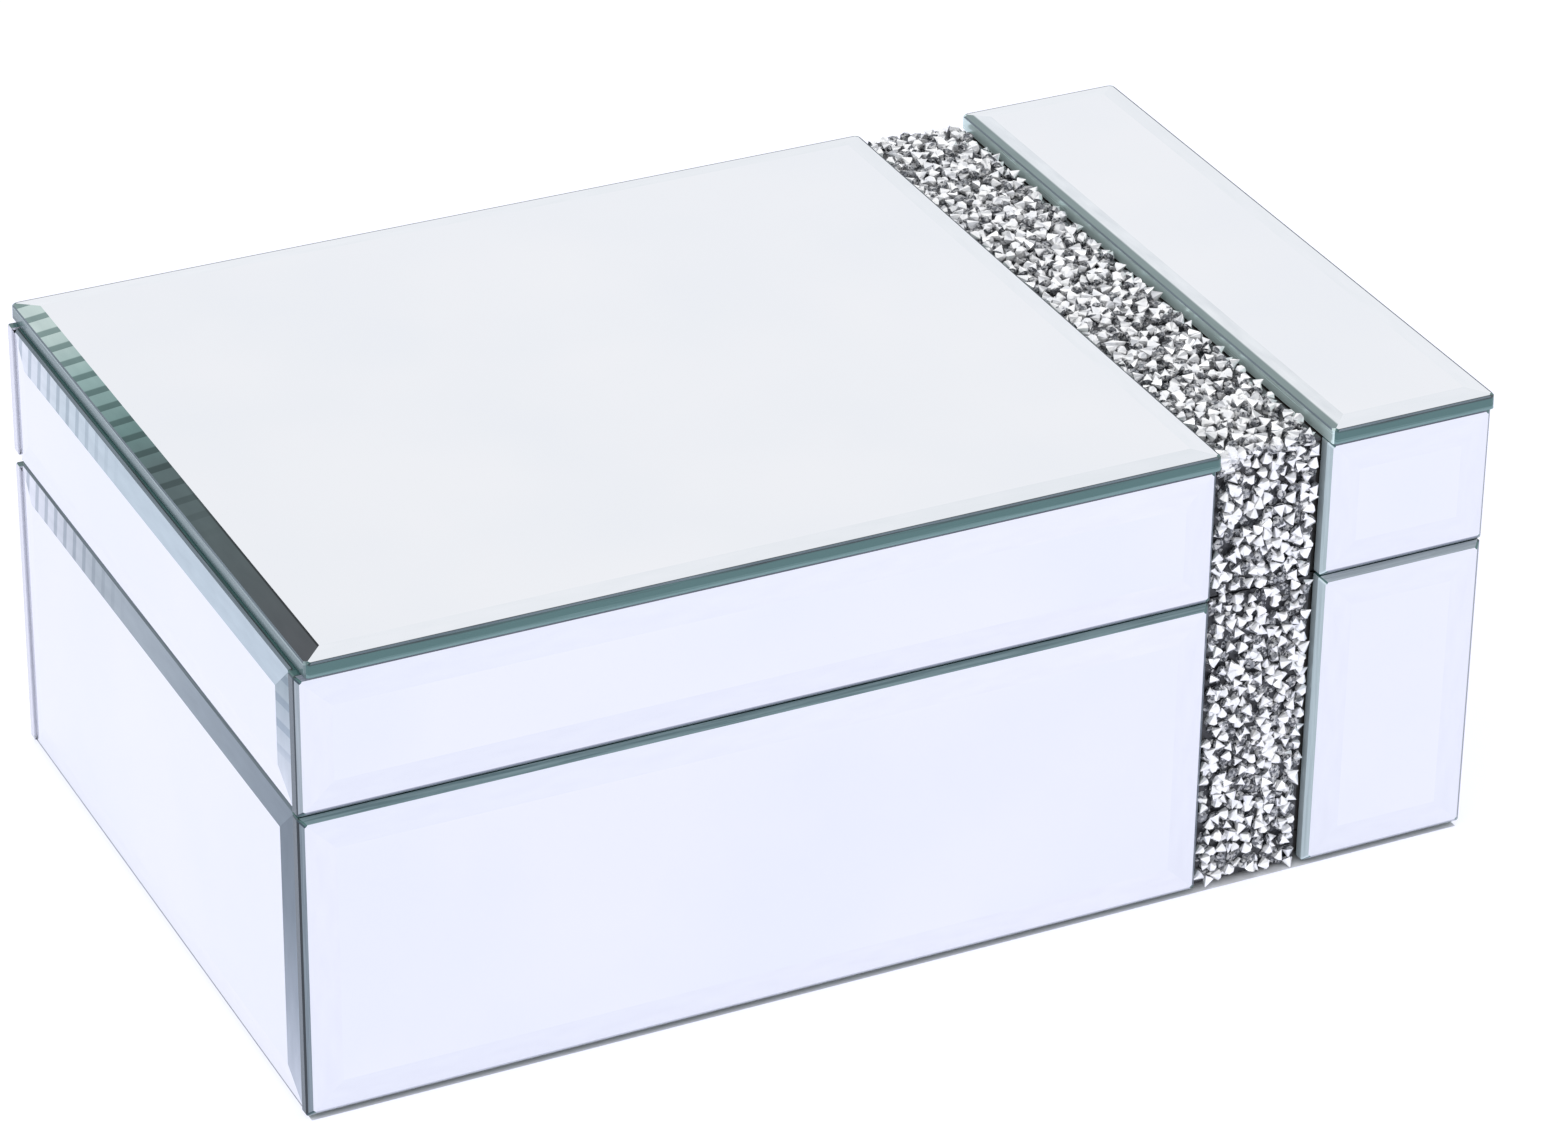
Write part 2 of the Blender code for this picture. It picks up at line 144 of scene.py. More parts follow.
@dataclass(frozen=True)
class Finish:
    """A surface finish. Each kind of finish draws its own nodes."""

    name: str

    def material(self) -> bpy.types.Material:
        """Make the material once.

        Returns:
            The material of this finish's name.
        """
        found = bpy.data.materials.get(self.name)
        if found:
            return found
        made = bpy.data.materials.new(self.name)
        made.use_nodes = True
        self.draw(made.node_tree, made.node_tree.nodes["Principled BSDF"])
        return made

    def draw(self, tree: bpy.types.NodeTree, shader: bpy.types.Node) -> None:
        """Draw the finish's nodes into the tree.

        Args:
            tree: the material's node tree.
            shader: its Principled node.
        """
        raise NotImplementedError

    def plain(self, shader: bpy.types.Node, **values: Any) -> None:
        """Set uniform values on the shader's own sockets; underscores stand for spaces."""
        for key, value in values.items():
            shader.inputs[key.replace("_", " ")].default_value = value

    def run(self, tree: bpy.types.NodeTree) -> Any:
        """Read the run map: output X goes along the edge and Y across it, both in metres."""
        place = add_node(tree, "ShaderNodeUVMap", {"uv_map": RUN}).outputs["UV"]
        return add_node(tree, "ShaderNodeSeparateXYZ", inputs={0: place}).outputs

    def tone(self, tree: bpy.types.NodeTree, shader: bpy.types.Node,
             factor: bpy.types.NodeSocket, *stops: tuple[float, str]) -> None:
        """Colour the shader by a factor through a ramp of positions and hex colours."""
        tree.links.new(ramp(tree, factor, stops), shader.inputs["Base Color"])

    def polish(self, tree: bpy.types.NodeTree, shader: bpy.types.Node,
               factor: bpy.types.NodeSocket, low: float, high: float) -> None:
        """Let the roughness follow a factor from low to high."""
        tree.links.new(self.spread(tree, factor, low, high), shader.inputs["Roughness"])

    def shade(self, tree: bpy.types.NodeTree, colour: bpy.types.NodeSocket, tint: str,
              factor: bpy.types.NodeSocket) -> bpy.types.NodeSocket:
        """Multiply a colour by a tint where the factor is 1."""
        return add_node(tree, "ShaderNodeMix", {"data_type": "RGBA", "blend_type": "MULTIPLY"}, {
            0: factor, 6: colour, 7: linear(tint)}).outputs[2]

    def grain(self, tree: bpy.types.NodeTree, size: float,
              stretch: tuple[float, float, float] = (1.0, 1.0, 1.0), detail: float = 3.0,
              uv: bool = False) -> bpy.types.NodeSocket:
        """Noise whose features are about size across.

        Args:
            tree: the node tree.
            size: feature size in metres.
            stretch: how many times longer the features are along each axis.
            detail: octaves.
            uv: True to read the run map instead of object coordinates.

        Returns:
            The noise factor.
        """
        if uv:
            source = add_node(tree, "ShaderNodeUVMap", {"uv_map": RUN}).outputs["UV"]
        else:
            source = add_node(tree, "ShaderNodeTexCoord").outputs["Object"]
        scale = tuple(1.0 / (size * s) for s in stretch)
        mapped = add_node(tree, "ShaderNodeMapping", inputs={"Vector": source, "Scale": scale})
        return add_node(tree, "ShaderNodeTexNoise", inputs={
            "Vector": mapped.outputs[0], "Scale": 1.0, "Detail": detail}).outputs["Fac"]

    def spread(self, tree: bpy.types.NodeTree, factor: bpy.types.NodeSocket, low: float,
               high: float) -> bpy.types.NodeSocket:
        """Map a factor's middle range to a span of values.

        Args:
            tree: the node tree.
            factor: the factor, mostly between 0.3 and 0.7.
            low: value at 0.3.
            high: value at 0.7.

        Returns:
            The mapped socket.
        """
        return add_node(tree, "ShaderNodeMapRange", inputs={
            "Value": factor, "From Min": 0.3, "From Max": 0.7, "To Min": low, "To Max": high,
        }).outputs["Result"]

    def relief(self, tree: bpy.types.NodeTree, shader: bpy.types.Node,
               height: bpy.types.NodeSocket, depth: float, strength: float = 1.0) -> None:
        """Bump the surface.

        Args:
            tree: the material's node tree.
            shader: its Principled node.
            height: the pattern, from 0 to 1.
            depth: how deep the pattern is, in metres.
            strength: the bump's strength.
        """
        bump = add_node(tree, "ShaderNodeBump", inputs={
            "Height": height, "Distance": depth, "Strength": strength})
        tree.links.new(bump.outputs[0], shader.inputs["Normal"])


@dataclass(frozen=True)
class SilveredFloatGlass(Finish):
    """Float glass silvered on its back: a clean mirror with the glass's faint cold tint."""

    light: str = "#E8E9EC"
    deep: str = "#E5E7EB"

    def draw(self, tree: bpy.types.NodeTree, shader: bpy.types.Node) -> None:
        """Silver reads as metal; drifting tint and polish come from the hand-laid silvering.

        Args:
            tree: the material's node tree.
            shader: its Principled node.
        """
        drift = self.grain(tree, 45 * MM, detail=2.0)
        self.tone(tree, shader, drift, (0.35, self.deep), (0.65, self.light))
        self.polish(tree, shader, self.grain(tree, 12 * MM, detail=4.0), 0.008, 0.03)
        self.plain(shader, Metallic=1.0)
        # Float glass is not dead flat: waves about 60 mm long and a few microns deep.
        self.relief(tree, shader, self.grain(tree, 60 * MM, detail=1.0), 0.02 * MM, 0.5)


@dataclass(frozen=True)
class GroundBevel(Finish):
    """A wide bevel ground and polished into silvered glass; the other tones it bends the view to
    are painted reflection.
    """

    stops: tuple[tuple[float, str], ...] = ((0.0, "#E4E6EA"), (1.0, "#E8E9EC"))
    first: float = -75 * MM
    last: float = 75 * MM
    bars: str = "#FFFFFF"
    bars_from: float = 0.4
    pitch: float = 6.8 * MM
    share: float = 0.3
    bar_blur: float = 0.08
    bars_fade: float = 0.25
    rim: str = "#FFFFFF"
    rim_width: float = 1.0 * MM
    rim_blur: float = 0.2 * MM
    inner: str = "#FFFFFF"
    inner_start: float = 5.5 * MM
    inner_blur: float = 0.2 * MM
    mottle: str = "#F1F2F3"

    def draw(self, tree: bpy.types.NodeTree, shader: bpy.types.Node) -> None:
        """The tone that drifts along the bevel is painted reflection; bars and rim lines are
        painted reflections inside the wedge.

        Args:
            tree: the material's node tree.
            shader: its Principled node.
        """
        run = self.run(tree)
        along = add_node(tree, "ShaderNodeMapRange", inputs={
            "Value": run["X"], "From Min": self.first, "From Max": self.last})
        # Painted reflection: the tone along the bevel.
        colour = ramp(tree, along.outputs["Result"], self.stops)
        mottle = self.grain(tree, 2.5 * MM, (4.0, 1.0, 1.0), 2.0, uv=True)
        colour = self.shade(tree, colour, self.mottle, self.spread(tree, mottle, 0.0, 1.0))
        # Painted reflection: bars in the bars tint across the bevel, from bars_from on.
        beat = add_node(tree, "ShaderNodeMath", {"operation": "MULTIPLY_ADD"}, {
            0: run["X"], 1: 1 / self.pitch, 2: WHOLE_BARS})
        phase = add_node(tree, "ShaderNodeMath", {"operation": "FRACT"}, {0: beat.outputs[0]})
        bar = self.step(tree, phase.outputs[0], self.share + self.bar_blur, self.share)
        reach = self.step(tree, along.outputs["Result"], self.bars_from,
                          self.bars_from + self.bars_fade)
        reflected_bar_mask = add_node(tree, "ShaderNodeMath", {"operation": "MULTIPLY"}, {0: bar, 1: reach})
        colour = self.shade(tree, colour, self.bars, reflected_bar_mask.outputs[0])
        # Painted reflection: a line along the rim, and an inner line where the bars do not reach.
        colour = self.shade(tree, colour, self.rim, self.step(
            tree, run["Y"], self.rim_width, self.rim_width - self.rim_blur))
        line = add_node(tree, "ShaderNodeMath", {"operation": "SUBTRACT"}, {0: 1.0, 1: reach})
        edge = self.step(tree, run["Y"], self.inner_start, self.inner_start + self.inner_blur)
        reflected_line_mask = add_node(tree, "ShaderNodeMath", {"operation": "MULTIPLY"}, {
            0: edge, 1: line.outputs[0]})
        colour = self.shade(tree, colour, self.inner, reflected_line_mask.outputs[0])
        tree.links.new(colour, shader.inputs["Base Color"])
        self.plain(shader, Metallic=1.0, Roughness=0.04)

    def mirrored(self) -> "GroundBevel":
        """The same bevel for a plate whose own run goes the other way."""
        return replace(self, name=f"{self.name}_mirrored", first=-self.first, last=-self.last)

    def step(self, tree: bpy.types.NodeTree, value: bpy.types.NodeSocket, none: float,
             full: float) -> bpy.types.NodeSocket:
        """A smooth step of a value from 0 at none to 1 at full."""
        return add_node(tree, "ShaderNodeMapRange", {"interpolation_type": "SMOOTHSTEP"}, {
            "Value": value, "From Min": min(none, full), "From Max": max(none, full),
            "To Min": float(none > full), "To Max": float(full > none)}).outputs["Result"]


@dataclass(frozen=True)
class SawnGlassEdge(Finish):
    """The cut edge of clear float glass: iron in the glass makes the long light path green."""

    upper: str = "#1D2428"
    middle: str = "#476A69"
    lower: str = "#6E8C8D"
    depth: float = 2.6 * MM
    piped: float = 0.0

    def draw(self, tree: bpy.types.NodeTree, shader: bpy.types.Node) -> None:
        """Painted shade darkest under the rim and painted light paler toward the silver, with
        grinding streaks along the edge.

        Args:
            tree: the material's node tree.
            shader: its Principled node.
        """
        # Painted light and shade across the edge: dark under the rim, pale toward the silver.
        down = add_node(tree, "ShaderNodeMapRange", inputs={
            "Value": self.run(tree)["Y"], "From Min": 0.0, "From Max": self.depth})
        streak = self.grain(tree, 0.5 * MM, (50.0, 1.0, 1.0), 3.0, uv=True)
        wander = add_node(tree, "ShaderNodeMath", {"operation": "ADD"}, {
            0: down.outputs["Result"], 1: self.spread(tree, streak, -0.12, 0.12)})
        self.tone(tree, shader, wander.outputs[0], (0.0, self.upper), (0.22, self.middle),
                  (0.7, self.middle), (0.95, self.lower))
        self.polish(tree, shader, streak, 0.12, 0.3)
        # Light that the glass carries from its far sides leaves the edge like a dim mirror.
        self.plain(shader, IOR=1.52, Metallic=self.piped)


@dataclass(frozen=True)
class StonedArris(Finish):
    """The narrow chamfer rubbed on a plate's rim with a stone: satin, grey and a little streaky."""

    deep: str = "#6C747E"
    light: str = "#858D97"
    outer: str = "#FFFFFF"
    outer_width: float = 0.4 * MM
    gloss: float = 0.5

    def draw(self, tree: bpy.types.NodeTree, shader: bpy.types.Node) -> None:
        """Fine scratches run along the rim; a joint's shadow may darken its outer part.

        Args:
            tree: the material's node tree.
            shader: its Principled node.
        """
        streak = self.grain(tree, 0.35 * MM, (60.0, 1.0, 1.0), 3.0, uv=True)
        colour = ramp(tree, streak, ((0.32, self.deep), (0.68, self.light)))
        outside = add_node(tree, "ShaderNodeMath", {"operation": "LESS_THAN"}, {
            0: self.run(tree)["Y"], 1: self.outer_width})
        colour = self.shade(tree, colour, self.outer, outside.outputs[0])
        tree.links.new(colour, shader.inputs["Base Color"])
        self.polish(tree, shader, streak, 0.18, 0.4)
        self.plain(shader, IOR=1.52, Specular_IOR_Level=self.gloss)


@dataclass(frozen=True)
class BackingPaint(Finish):
    """The grey protective paint rolled on a mirror's back: matt with a faint orange peel."""

    def draw(self, tree: bpy.types.NodeTree, shader: bpy.types.Node) -> None:
        """Roller marks give a soft mottle.

        Args:
            tree: the material's node tree.
            shader: its Principled node.
        """
        mottle = self.grain(tree, 3 * MM)
        self.tone(tree, shader, mottle, (0.35, "#4C5256"), (0.65, "#5C6266"))
        self.plain(shader, Roughness=0.7, IOR=1.5)
        self.relief(tree, shader, mottle, 0.03 * MM)


@dataclass(frozen=True)
class SilverFoil(Finish):
    """Silver lacquer on a cut stone's cone: bright, almost white facets with a satin skin."""

    def draw(self, tree: bpy.types.NodeTree, shader: bpy.types.Node) -> None:
        """Each stone is a touch lighter or darker than the next.

        Args:
            tree: the material's node tree.
            shader: its Principled node.
        """
        self.tone(tree, shader, self.grain(tree, 2.2 * MM, detail=1.0),
                  (0.35, "#F0F1F4"), (0.55, "#FFFFFF"))
        self.plain(shader, Metallic=0.5, Roughness=0.15)


@dataclass(frozen=True)
class CutCrystal(Finish):
    """Machine-cut lead-free crystal over foil: the tone each small facet throws back is painted
    reflection.
    """

    facet: float = 0.5 * MM

    def draw(self, tree: bpy.types.NodeTree, shader: bpy.types.Node) -> None:
        """Painted reflection: cells as large as the cone's facets, seen through the table, go from
        dark grey to white.

        Args:
            tree: the material's node tree.
            shader: its Principled node.
        """
        # Painted reflection: each facet cell gets its own tone from dark grey to white.
        place = add_node(tree, "ShaderNodeTexCoord")
        cells = add_node(tree, "ShaderNodeTexVoronoi", inputs={
            "Vector": place.outputs["Object"], "Scale": 1 / self.facet})
        tone = add_node(tree, "ShaderNodeSeparateXYZ", inputs={0: cells.outputs["Color"]})
        self.tone(tree, shader, tone.outputs["X"], (0.0, "#3A3D43"), (0.4, "#7D8087"),
                  (0.65, "#B8BBC1"), (0.88, "#FFFFFF"))
        self.polish(tree, shader, self.grain(tree, 0.8 * MM), 0.0, 0.05)
        self.plain(shader, IOR=1.56, Transmission_Weight=0.45)


@dataclass(frozen=True)
class ResinBed(Finish):
    """Black-grey resin glue that the stones are poured into: glossy, lumpy and dark."""

    def draw(self, tree: bpy.types.NodeTree, shader: bpy.types.Node) -> None:
        """The glue is lighter where its lumps stand higher, up to pale grey on the highest.

        Args:
            tree: the material's node tree.
            shader: its Principled node.
        """
        lumps = self.grain(tree, 1.5 * MM, detail=5.0)
        self.tone(tree, shader, lumps, (0.3, "#17181B"), (0.62, "#33353A"), (0.8, "#8C8F96"))
        self.plain(shader, Roughness=0.25, IOR=1.5)
        self.relief(tree, shader, lumps, 0.3 * MM)


@dataclass(frozen=True)
class PaintedFibreboard(Finish):
    """Medium-density fibreboard under thin black-brown paint: satin, with raised fibre specks."""

    def draw(self, tree: bpy.types.NodeTree, shader: bpy.types.Node) -> None:
        """Fibres about 1 mm long swell under water paint and leave a fine nap.

        Args:
            tree: the material's node tree.
            shader: its Principled node.
        """
        fibres = self.grain(tree, 0.9 * MM, detail=5.0)
        wear = self.grain(tree, 18 * MM)
        both = add_node(tree, "ShaderNodeMix", {"data_type": "FLOAT"},
                        {0: 0.5, 2: fibres, 3: wear})
        self.tone(tree, shader, both.outputs[0], (0.35, "#120F0D"), (0.55, "#1D1916"),
                  (0.75, "#3A322B"))
        self.polish(tree, shader, wear, 0.42, 0.62)
        self.plain(shader, IOR=1.48)
        self.relief(tree, shader, fibres, 0.08 * MM)


@dataclass(frozen=True)
class CottonVelvet(Finish):
    """Short cotton velvet: a deep matt black with a pale bloom where the pile leans away."""

    def draw(self, tree: bpy.types.NodeTree, shader: bpy.types.Node) -> None:
        """Painted sheen: stroked patches about 30 mm wide are lighter; pile drawn at 0.5 mm,
        coarser than real, to show.

        Args:
            tree: the material's node tree.
            shader: its Principled node.
        """
        # Painted sheen: the stroked patches lighten the colour.
        stroked_sheen = self.grain(tree, 30 * MM, (1.0, 1.8, 1.0), 2.0)
        pile = self.grain(tree, 0.5 * MM, detail=2.0)
        both = add_node(tree, "ShaderNodeMix", {"data_type": "FLOAT"},
                        {0: 0.4, 2: stroked_sheen, 3: pile})
        self.tone(tree, shader, both.outputs[0], (0.36, "#131316"), (0.64, "#2B2B31"))
        self.plain(shader, Roughness=0.92, Sheen_Weight=0.55, Sheen_Roughness=0.35,
                   Sheen_Tint=linear("#C9C9D6"), Specular_IOR_Level=0.2)
        self.relief(tree, shader, pile, 0.25 * MM)


@dataclass(frozen=True)
class PressedFelt(Finish):
    """Pressed wool felt: matted black fibre with pale flecks and no sheen."""

    def draw(self, tree: bpy.types.NodeTree, shader: bpy.types.Node) -> None:
        """Fibres lie every way; two noise scales stand for tufts and for single hairs.

        Args:
            tree: the material's node tree.
            shader: its Principled node.
        """
        hairs = self.grain(tree, 0.7 * MM, (3.0, 1.0, 1.0), 4.0)
        tufts = self.grain(tree, 4 * MM)
        both = add_node(tree, "ShaderNodeMix", {"data_type": "FLOAT"},
                        {0: 0.35, 2: hairs, 3: tufts})
        self.tone(tree, shader, both.outputs[0], (0.35, "#101012"), (0.6, "#212126"),
                  (0.78, "#4A4A52"))
        self.plain(shader, Roughness=0.97, Sheen_Weight=0.15, Specular_IOR_Level=0.15)
        self.relief(tree, shader, hairs, 0.2 * MM)


@dataclass(frozen=True)
class NickelPlate(Finish):
    """Bright nickel over stamped steel: warm grey metal with rolling lines and small scuffs."""

    light: str = "#D8D5CF"
    deep: str = "#C4C0B9"

    def draw(self, tree: bpy.types.NodeTree, shader: bpy.types.Node) -> None:
        """Rolling lines run along the hinge; handling leaves duller patches.

        Args:
            tree: the material's node tree.
            shader: its Principled node.
        """
        lines = self.grain(tree, 0.3 * MM, (30.0, 1.0, 1.0))
        scuffs = self.grain(tree, 2.5 * MM, detail=4.0)
        self.tone(tree, shader, lines, (0.35, self.deep), (0.65, self.light))
        self.polish(tree, shader, scuffs, 0.2, 0.3)
        self.plain(shader, Metallic=1.0)
        self.relief(tree, shader, lines, 0.001 * MM)


@dataclass(frozen=True)
class OpalLightTable(Finish):
    """An opal acrylic table lit from below, so that almost no shadow is left on it."""

    def draw(self, tree: bpy.types.NodeTree, shader: bpy.types.Node) -> None:
        """A faint tone of the sheet; the light through it is plain.

        Args:
            tree: the material's node tree.
            shader: its Principled node.
        """
        self.tone(tree, shader, self.grain(tree, 0.4), (0.3, "#949498"), (0.7, "#98989C"))
        self.plain(shader, Roughness=0.8, Emission_Color=linear("#EDEFFF"), Emission_Strength=0.88)


@dataclass(frozen=True)
class ShadedTable(Finish):
    """Painted shadow: the same opal sheet without its glow, laid where the box stands."""

    def draw(self, tree: bpy.types.NodeTree, shader: bpy.types.Node) -> None:
        """A faint tone of the sheet with no glow: the painted shadow under the box.

        Args:
            tree: the material's node tree.
            shader: its Principled node.
        """
        self.tone(tree, shader, self.grain(tree, 0.4), (0.3, "#E0E2E6"), (0.7, "#E4E6EA"))
        self.plain(shader, Roughness=0.8)


MIRROR = SilveredFloatGlass("silvered_float_glass")
# Painted reflection: each bevel copy below carries the tones, rim lines and bars of what it
# reflects where it sits, so the copies differ by side.
CLEAR_BEVEL = GroundBevel("polished_bevel_clear", mottle="#FCFCFD")
FOOT_BEVEL = GroundBevel("polished_bevel_foot", rim="#D9DCE2", rim_width=1.4 * MM,
                         mottle="#FCFCFD")
LIP_BEVEL = GroundBevel("polished_bevel_lip", rim="#A3A7B0", rim_width=1.3 * MM, mottle="#FCFCFD")
TOP_BEVEL = GroundBevel("polished_bevel_top", ((0.0, "#E6E8EC"), (1.0, "#E1E4E8")),
                        mottle="#FBFCFC")
# A painted dark reflection line along the top plates' front and far rims.
TOP_FRONT_BEVEL = replace(TOP_BEVEL, name="polished_bevel_top_front", rim="#3E474C",
                          rim_width=0.5 * MM)
TOP_RIM_BEVEL = replace(TOP_BEVEL, name="polished_bevel_top_rim", rim="#4A525A",
                        rim_width=0.6 * MM)
# Painted dark reflection: the left top plate's left bevel, dark grey toward green.
DARK_REFLECTION_BEVEL = GroundBevel(
    "polished_bevel_slate",
    ((0.0, "#4F5256"), (0.3, "#4E5A5C"), (0.5, "#526465"), (0.62, "#648280"), (0.78, "#8FABA8"),
     (0.93, "#BFD0CC")),
    bars="#A9B6B6", bars_from=0.28, inner="#8F9496", inner_start=4.1 * MM)
BAND_SIDE_BEVEL = GroundBevel(
    "polished_bevel_beside_band", ((0.0, "#E4E7EA"), (1.0, "#E1E5E9")), rim="#94A3A0",
    rim_width=2.1 * MM, rim_blur=0.5 * MM)
# Painted reflection: the side plates' top bevels, darker on the base than on the lid.
LID_SIDE_BEVEL = GroundBevel(
    "polished_bevel_lid_side", ((0.0, "#B4C3C8"), (0.6, "#B2C2C6"), (0.8, "#BECBCE"),
                                (0.95, "#DCE1E5")), 75 * MM, -75 * MM, "#CFD6DA", 0.55, 5.4 * MM)
BASE_SIDE_BEVEL = GroundBevel(
    "polished_bevel_base_side", ((0.0, "#6C7B83"), (0.35, "#808E94"), (0.7, "#98A4A8"),
                                 (0.95, "#DEE1E6")), 75 * MM, -75 * MM, "#CBD2D6", 0.55, 5.4 * MM)
LID_CORNER_BEVEL = GroundBevel(
    "polished_bevel_lid_corner", ((0.0, "#D6DBE0"), (0.5, "#B4BFC5"), (1.0, "#8C9DA1")),
    -13 * MM, 13 * MM, "#DCE2E8", 0.2, 5.4 * MM)
BASE_CORNER_BEVEL = GroundBevel(
    "polished_bevel_base_corner", ((0.0, "#BEC5CD"), (0.35, "#8F9AA3"), (0.65, "#6C7A83"),
                                   (1.0, "#616F77")), -31 * MM, 31 * MM)
# Painted light and shade: these edge copies differ only in tone by where each edge sits; the pale,
# beside-band and last ones are lightened against the shade that falls on them, and the corner one
# is darkened.
GREEN_EDGE = SawnGlassEdge("sawn_glass_edge_green")
DARK_EDGE = SawnGlassEdge("sawn_glass_edge_corner", "#2B3F48", "#30454F", "#3A515A")
SIDE_EDGE = SawnGlassEdge("sawn_glass_edge_side", "#8FA4A5", "#627779", "#4C5F62")
PALE_EDGE = SawnGlassEdge("sawn_glass_edge_pale", "#C6D6DA", "#CBDADE", "#BCCBCF", piped=0.35)
BAND_EDGE = SawnGlassEdge("sawn_glass_edge_beside_band", "#C4D6D6", "#D1E6E4", "#D6EAE8",
                          piped=0.4)
PAINTED_LIGHT_EDGE = SawnGlassEdge("sawn_glass_edge_hazy", "#D2D3DB", "#D8D9E1", "#DCDDE5", piped=0.6)
# Painted light and shade: the arris copies differ in tone by where each sits; the corner and lip
# ones carry a painted joint shadow on their outer part, and the foot and clear ones have little
# gloss and a painted reflection in their colour.
ARRIS = StonedArris("stoned_arris_grey")
CORNER_ARRIS = StonedArris("stoned_arris_corner", "#6A7780", "#7F8C95", "#4A555A")
LIP_ARRIS = StonedArris("stoned_arris_lip", "#8E99A1", "#A3ADB4", "#5E676D", 0.25 * MM)
TEAL_ARRIS = StonedArris("stoned_arris_teal", "#A4B4B8", "#B3C2C6")
FOOT_ARRIS = StonedArris("stoned_arris_foot", "#AEB3BC", "#BDC2CA", gloss=0.1)
CLEAR_ARRIS = StonedArris("stoned_arris_clear", "#6F7782", "#7F8792", gloss=0.05)
PAINTED_LIGHT_ARRIS = StonedArris("stoned_arris_hazy", "#C6C8D2", "#D3D5DE")
GREEN_ARRIS = StonedArris("stoned_arris_green", "#5A7277", "#80979C")
PALE_ARRIS = StonedArris("stoned_arris_pale", "#8A959D", "#A3AEB6")
SLATE_ARRIS = StonedArris("stoned_arris_slate", "#4A5963", "#66757F")
BACKING = BackingPaint("mirror_backing_paint")
FOIL = SilverFoil("silver_lacquer_foil")
CRYSTAL = CutCrystal("cut_crystal")
RESIN = ResinBed("black_resin_glue")
FIBREBOARD = PaintedFibreboard("painted_fibreboard")
VELVET = CottonVelvet("cotton_velvet")
FELT = PressedFelt("pressed_wool_felt")
NICKEL = NickelPlate("nickel_plated_steel")
SCREW_NICKEL = NickelPlate("nickel_plated_screw_steel", "#BDB9B2", "#96928B")
TABLE = OpalLightTable("opal_acrylic_light_table")
SHADED_TABLE = ShadedTable("opal_acrylic_in_shade")


# ---------------------------------------------------------------------------- shared making


def place_mesh(name: str, mesh: bpy.types.Mesh, smooth: float = 0.0) -> bpy.types.Object:
    """Link a mesh as an unturned object at the origin.

    Args:
        name: the object's name.
        mesh: its mesh, with its place in its points.
        smooth: angle in degrees below which edges shade smooth; 0 keeps facets.

    Returns:
        The object.
    """
    piece = bpy.data.objects.new(name, mesh)
    bpy.context.scene.collection.objects.link(piece)
    if smooth:
        mesh.shade_smooth()
        mesh.set_sharp_from_angle(angle=math.radians(smooth))
    return piece


def from_work(name: str, work: bmesh.types.BMesh, smooth: float = 0.0) -> bpy.types.Object:
    """Turn a bmesh into a linked object with outward faces, and free it.

    Args:
        name: the object's name.
        work: the bmesh.
        smooth: as in place_mesh.

    Returns:
        The object.
    """
    bmesh.ops.recalc_face_normals(work, faces=work.faces)
    mesh = bpy.data.meshes.new(name)
    work.to_mesh(mesh)
    work.free()
    return place_mesh(name, mesh, smooth)


def evaluated(piece: bpy.types.Object, name: str) -> bpy.types.Mesh:
    """Take a piece's mesh with its modifiers applied, and remove the piece.

    Args:
        piece: the object with live modifiers.
        name: the new mesh's name.

    Returns:
        The plain mesh.
    """
    graph = bpy.context.evaluated_depsgraph_get()
    graph.update()
    mesh = bpy.data.meshes.new_from_object(piece.evaluated_get(graph))
    mesh.name = name
    bpy.data.objects.remove(piece, do_unlink=True)
    return mesh


def facing(outward: tuple[int, int, int], up: tuple[int, int, int]) -> Matrix:
    """The turn that takes +Z outward and +Y up."""
    across = Vector(up).cross(Vector(outward))
    return Matrix((across, Vector(up), Vector(outward))).transposed().to_4x4()


def block(low: Vector, high: Vector) -> bmesh.types.BMesh:
    """A box in a new bmesh.

    Args:
        low: lowest corner.
        high: highest corner.

    Returns:
        The bmesh.
    """
    work = bmesh.new()
    bmesh.ops.create_cube(work, size=1.0)
    bmesh.ops.scale(work, vec=high - low, verts=work.verts)
    bmesh.ops.translate(work, vec=(low + high) / 2, verts=work.verts)
    return work


def slice_evenly(work: bmesh.types.BMesh, low: Vector, axis: int, cell: float,
                 count: int) -> None:
    """Cut a block across one axis, so that it can bend or carry a relief.

    Args:
        work: the bmesh.
        low: the block's lowest corner.
        axis: 0, 1 or 2, the axis to cut across.
        cell: the distance between cuts.
        count: how many slices to leave, the last one taking what is over.
    """
    for step in range(1, count):
        point, normal = Vector(low), Vector((0, 0, 0))
        point[axis] += step * cell
        normal[axis] = 1.0
        bmesh.ops.bisect_plane(work, geom=work.verts[:] + work.edges[:] + work.faces[:],
                               plane_co=point, plane_no=normal)


def grouped_inputs(tree: bpy.types.NodeTree, sockets: dict[str, str]) -> bpy.types.Node:
    """Give a geometry tree its named inputs and one geometry output.

    Args:
        tree: the geometry tree.
        sockets: input names with their short types, such as Float or Material.

    Returns:
        The group input node.
    """
    for name, kind in sockets.items():
        tree.interface.new_socket(name, in_out="INPUT", socket_type=f"NodeSocket{kind}")
    tree.interface.new_socket("Geometry", in_out="OUTPUT", socket_type="NodeSocketGeometry")
    return add_node(tree, "NodeGroupInput")


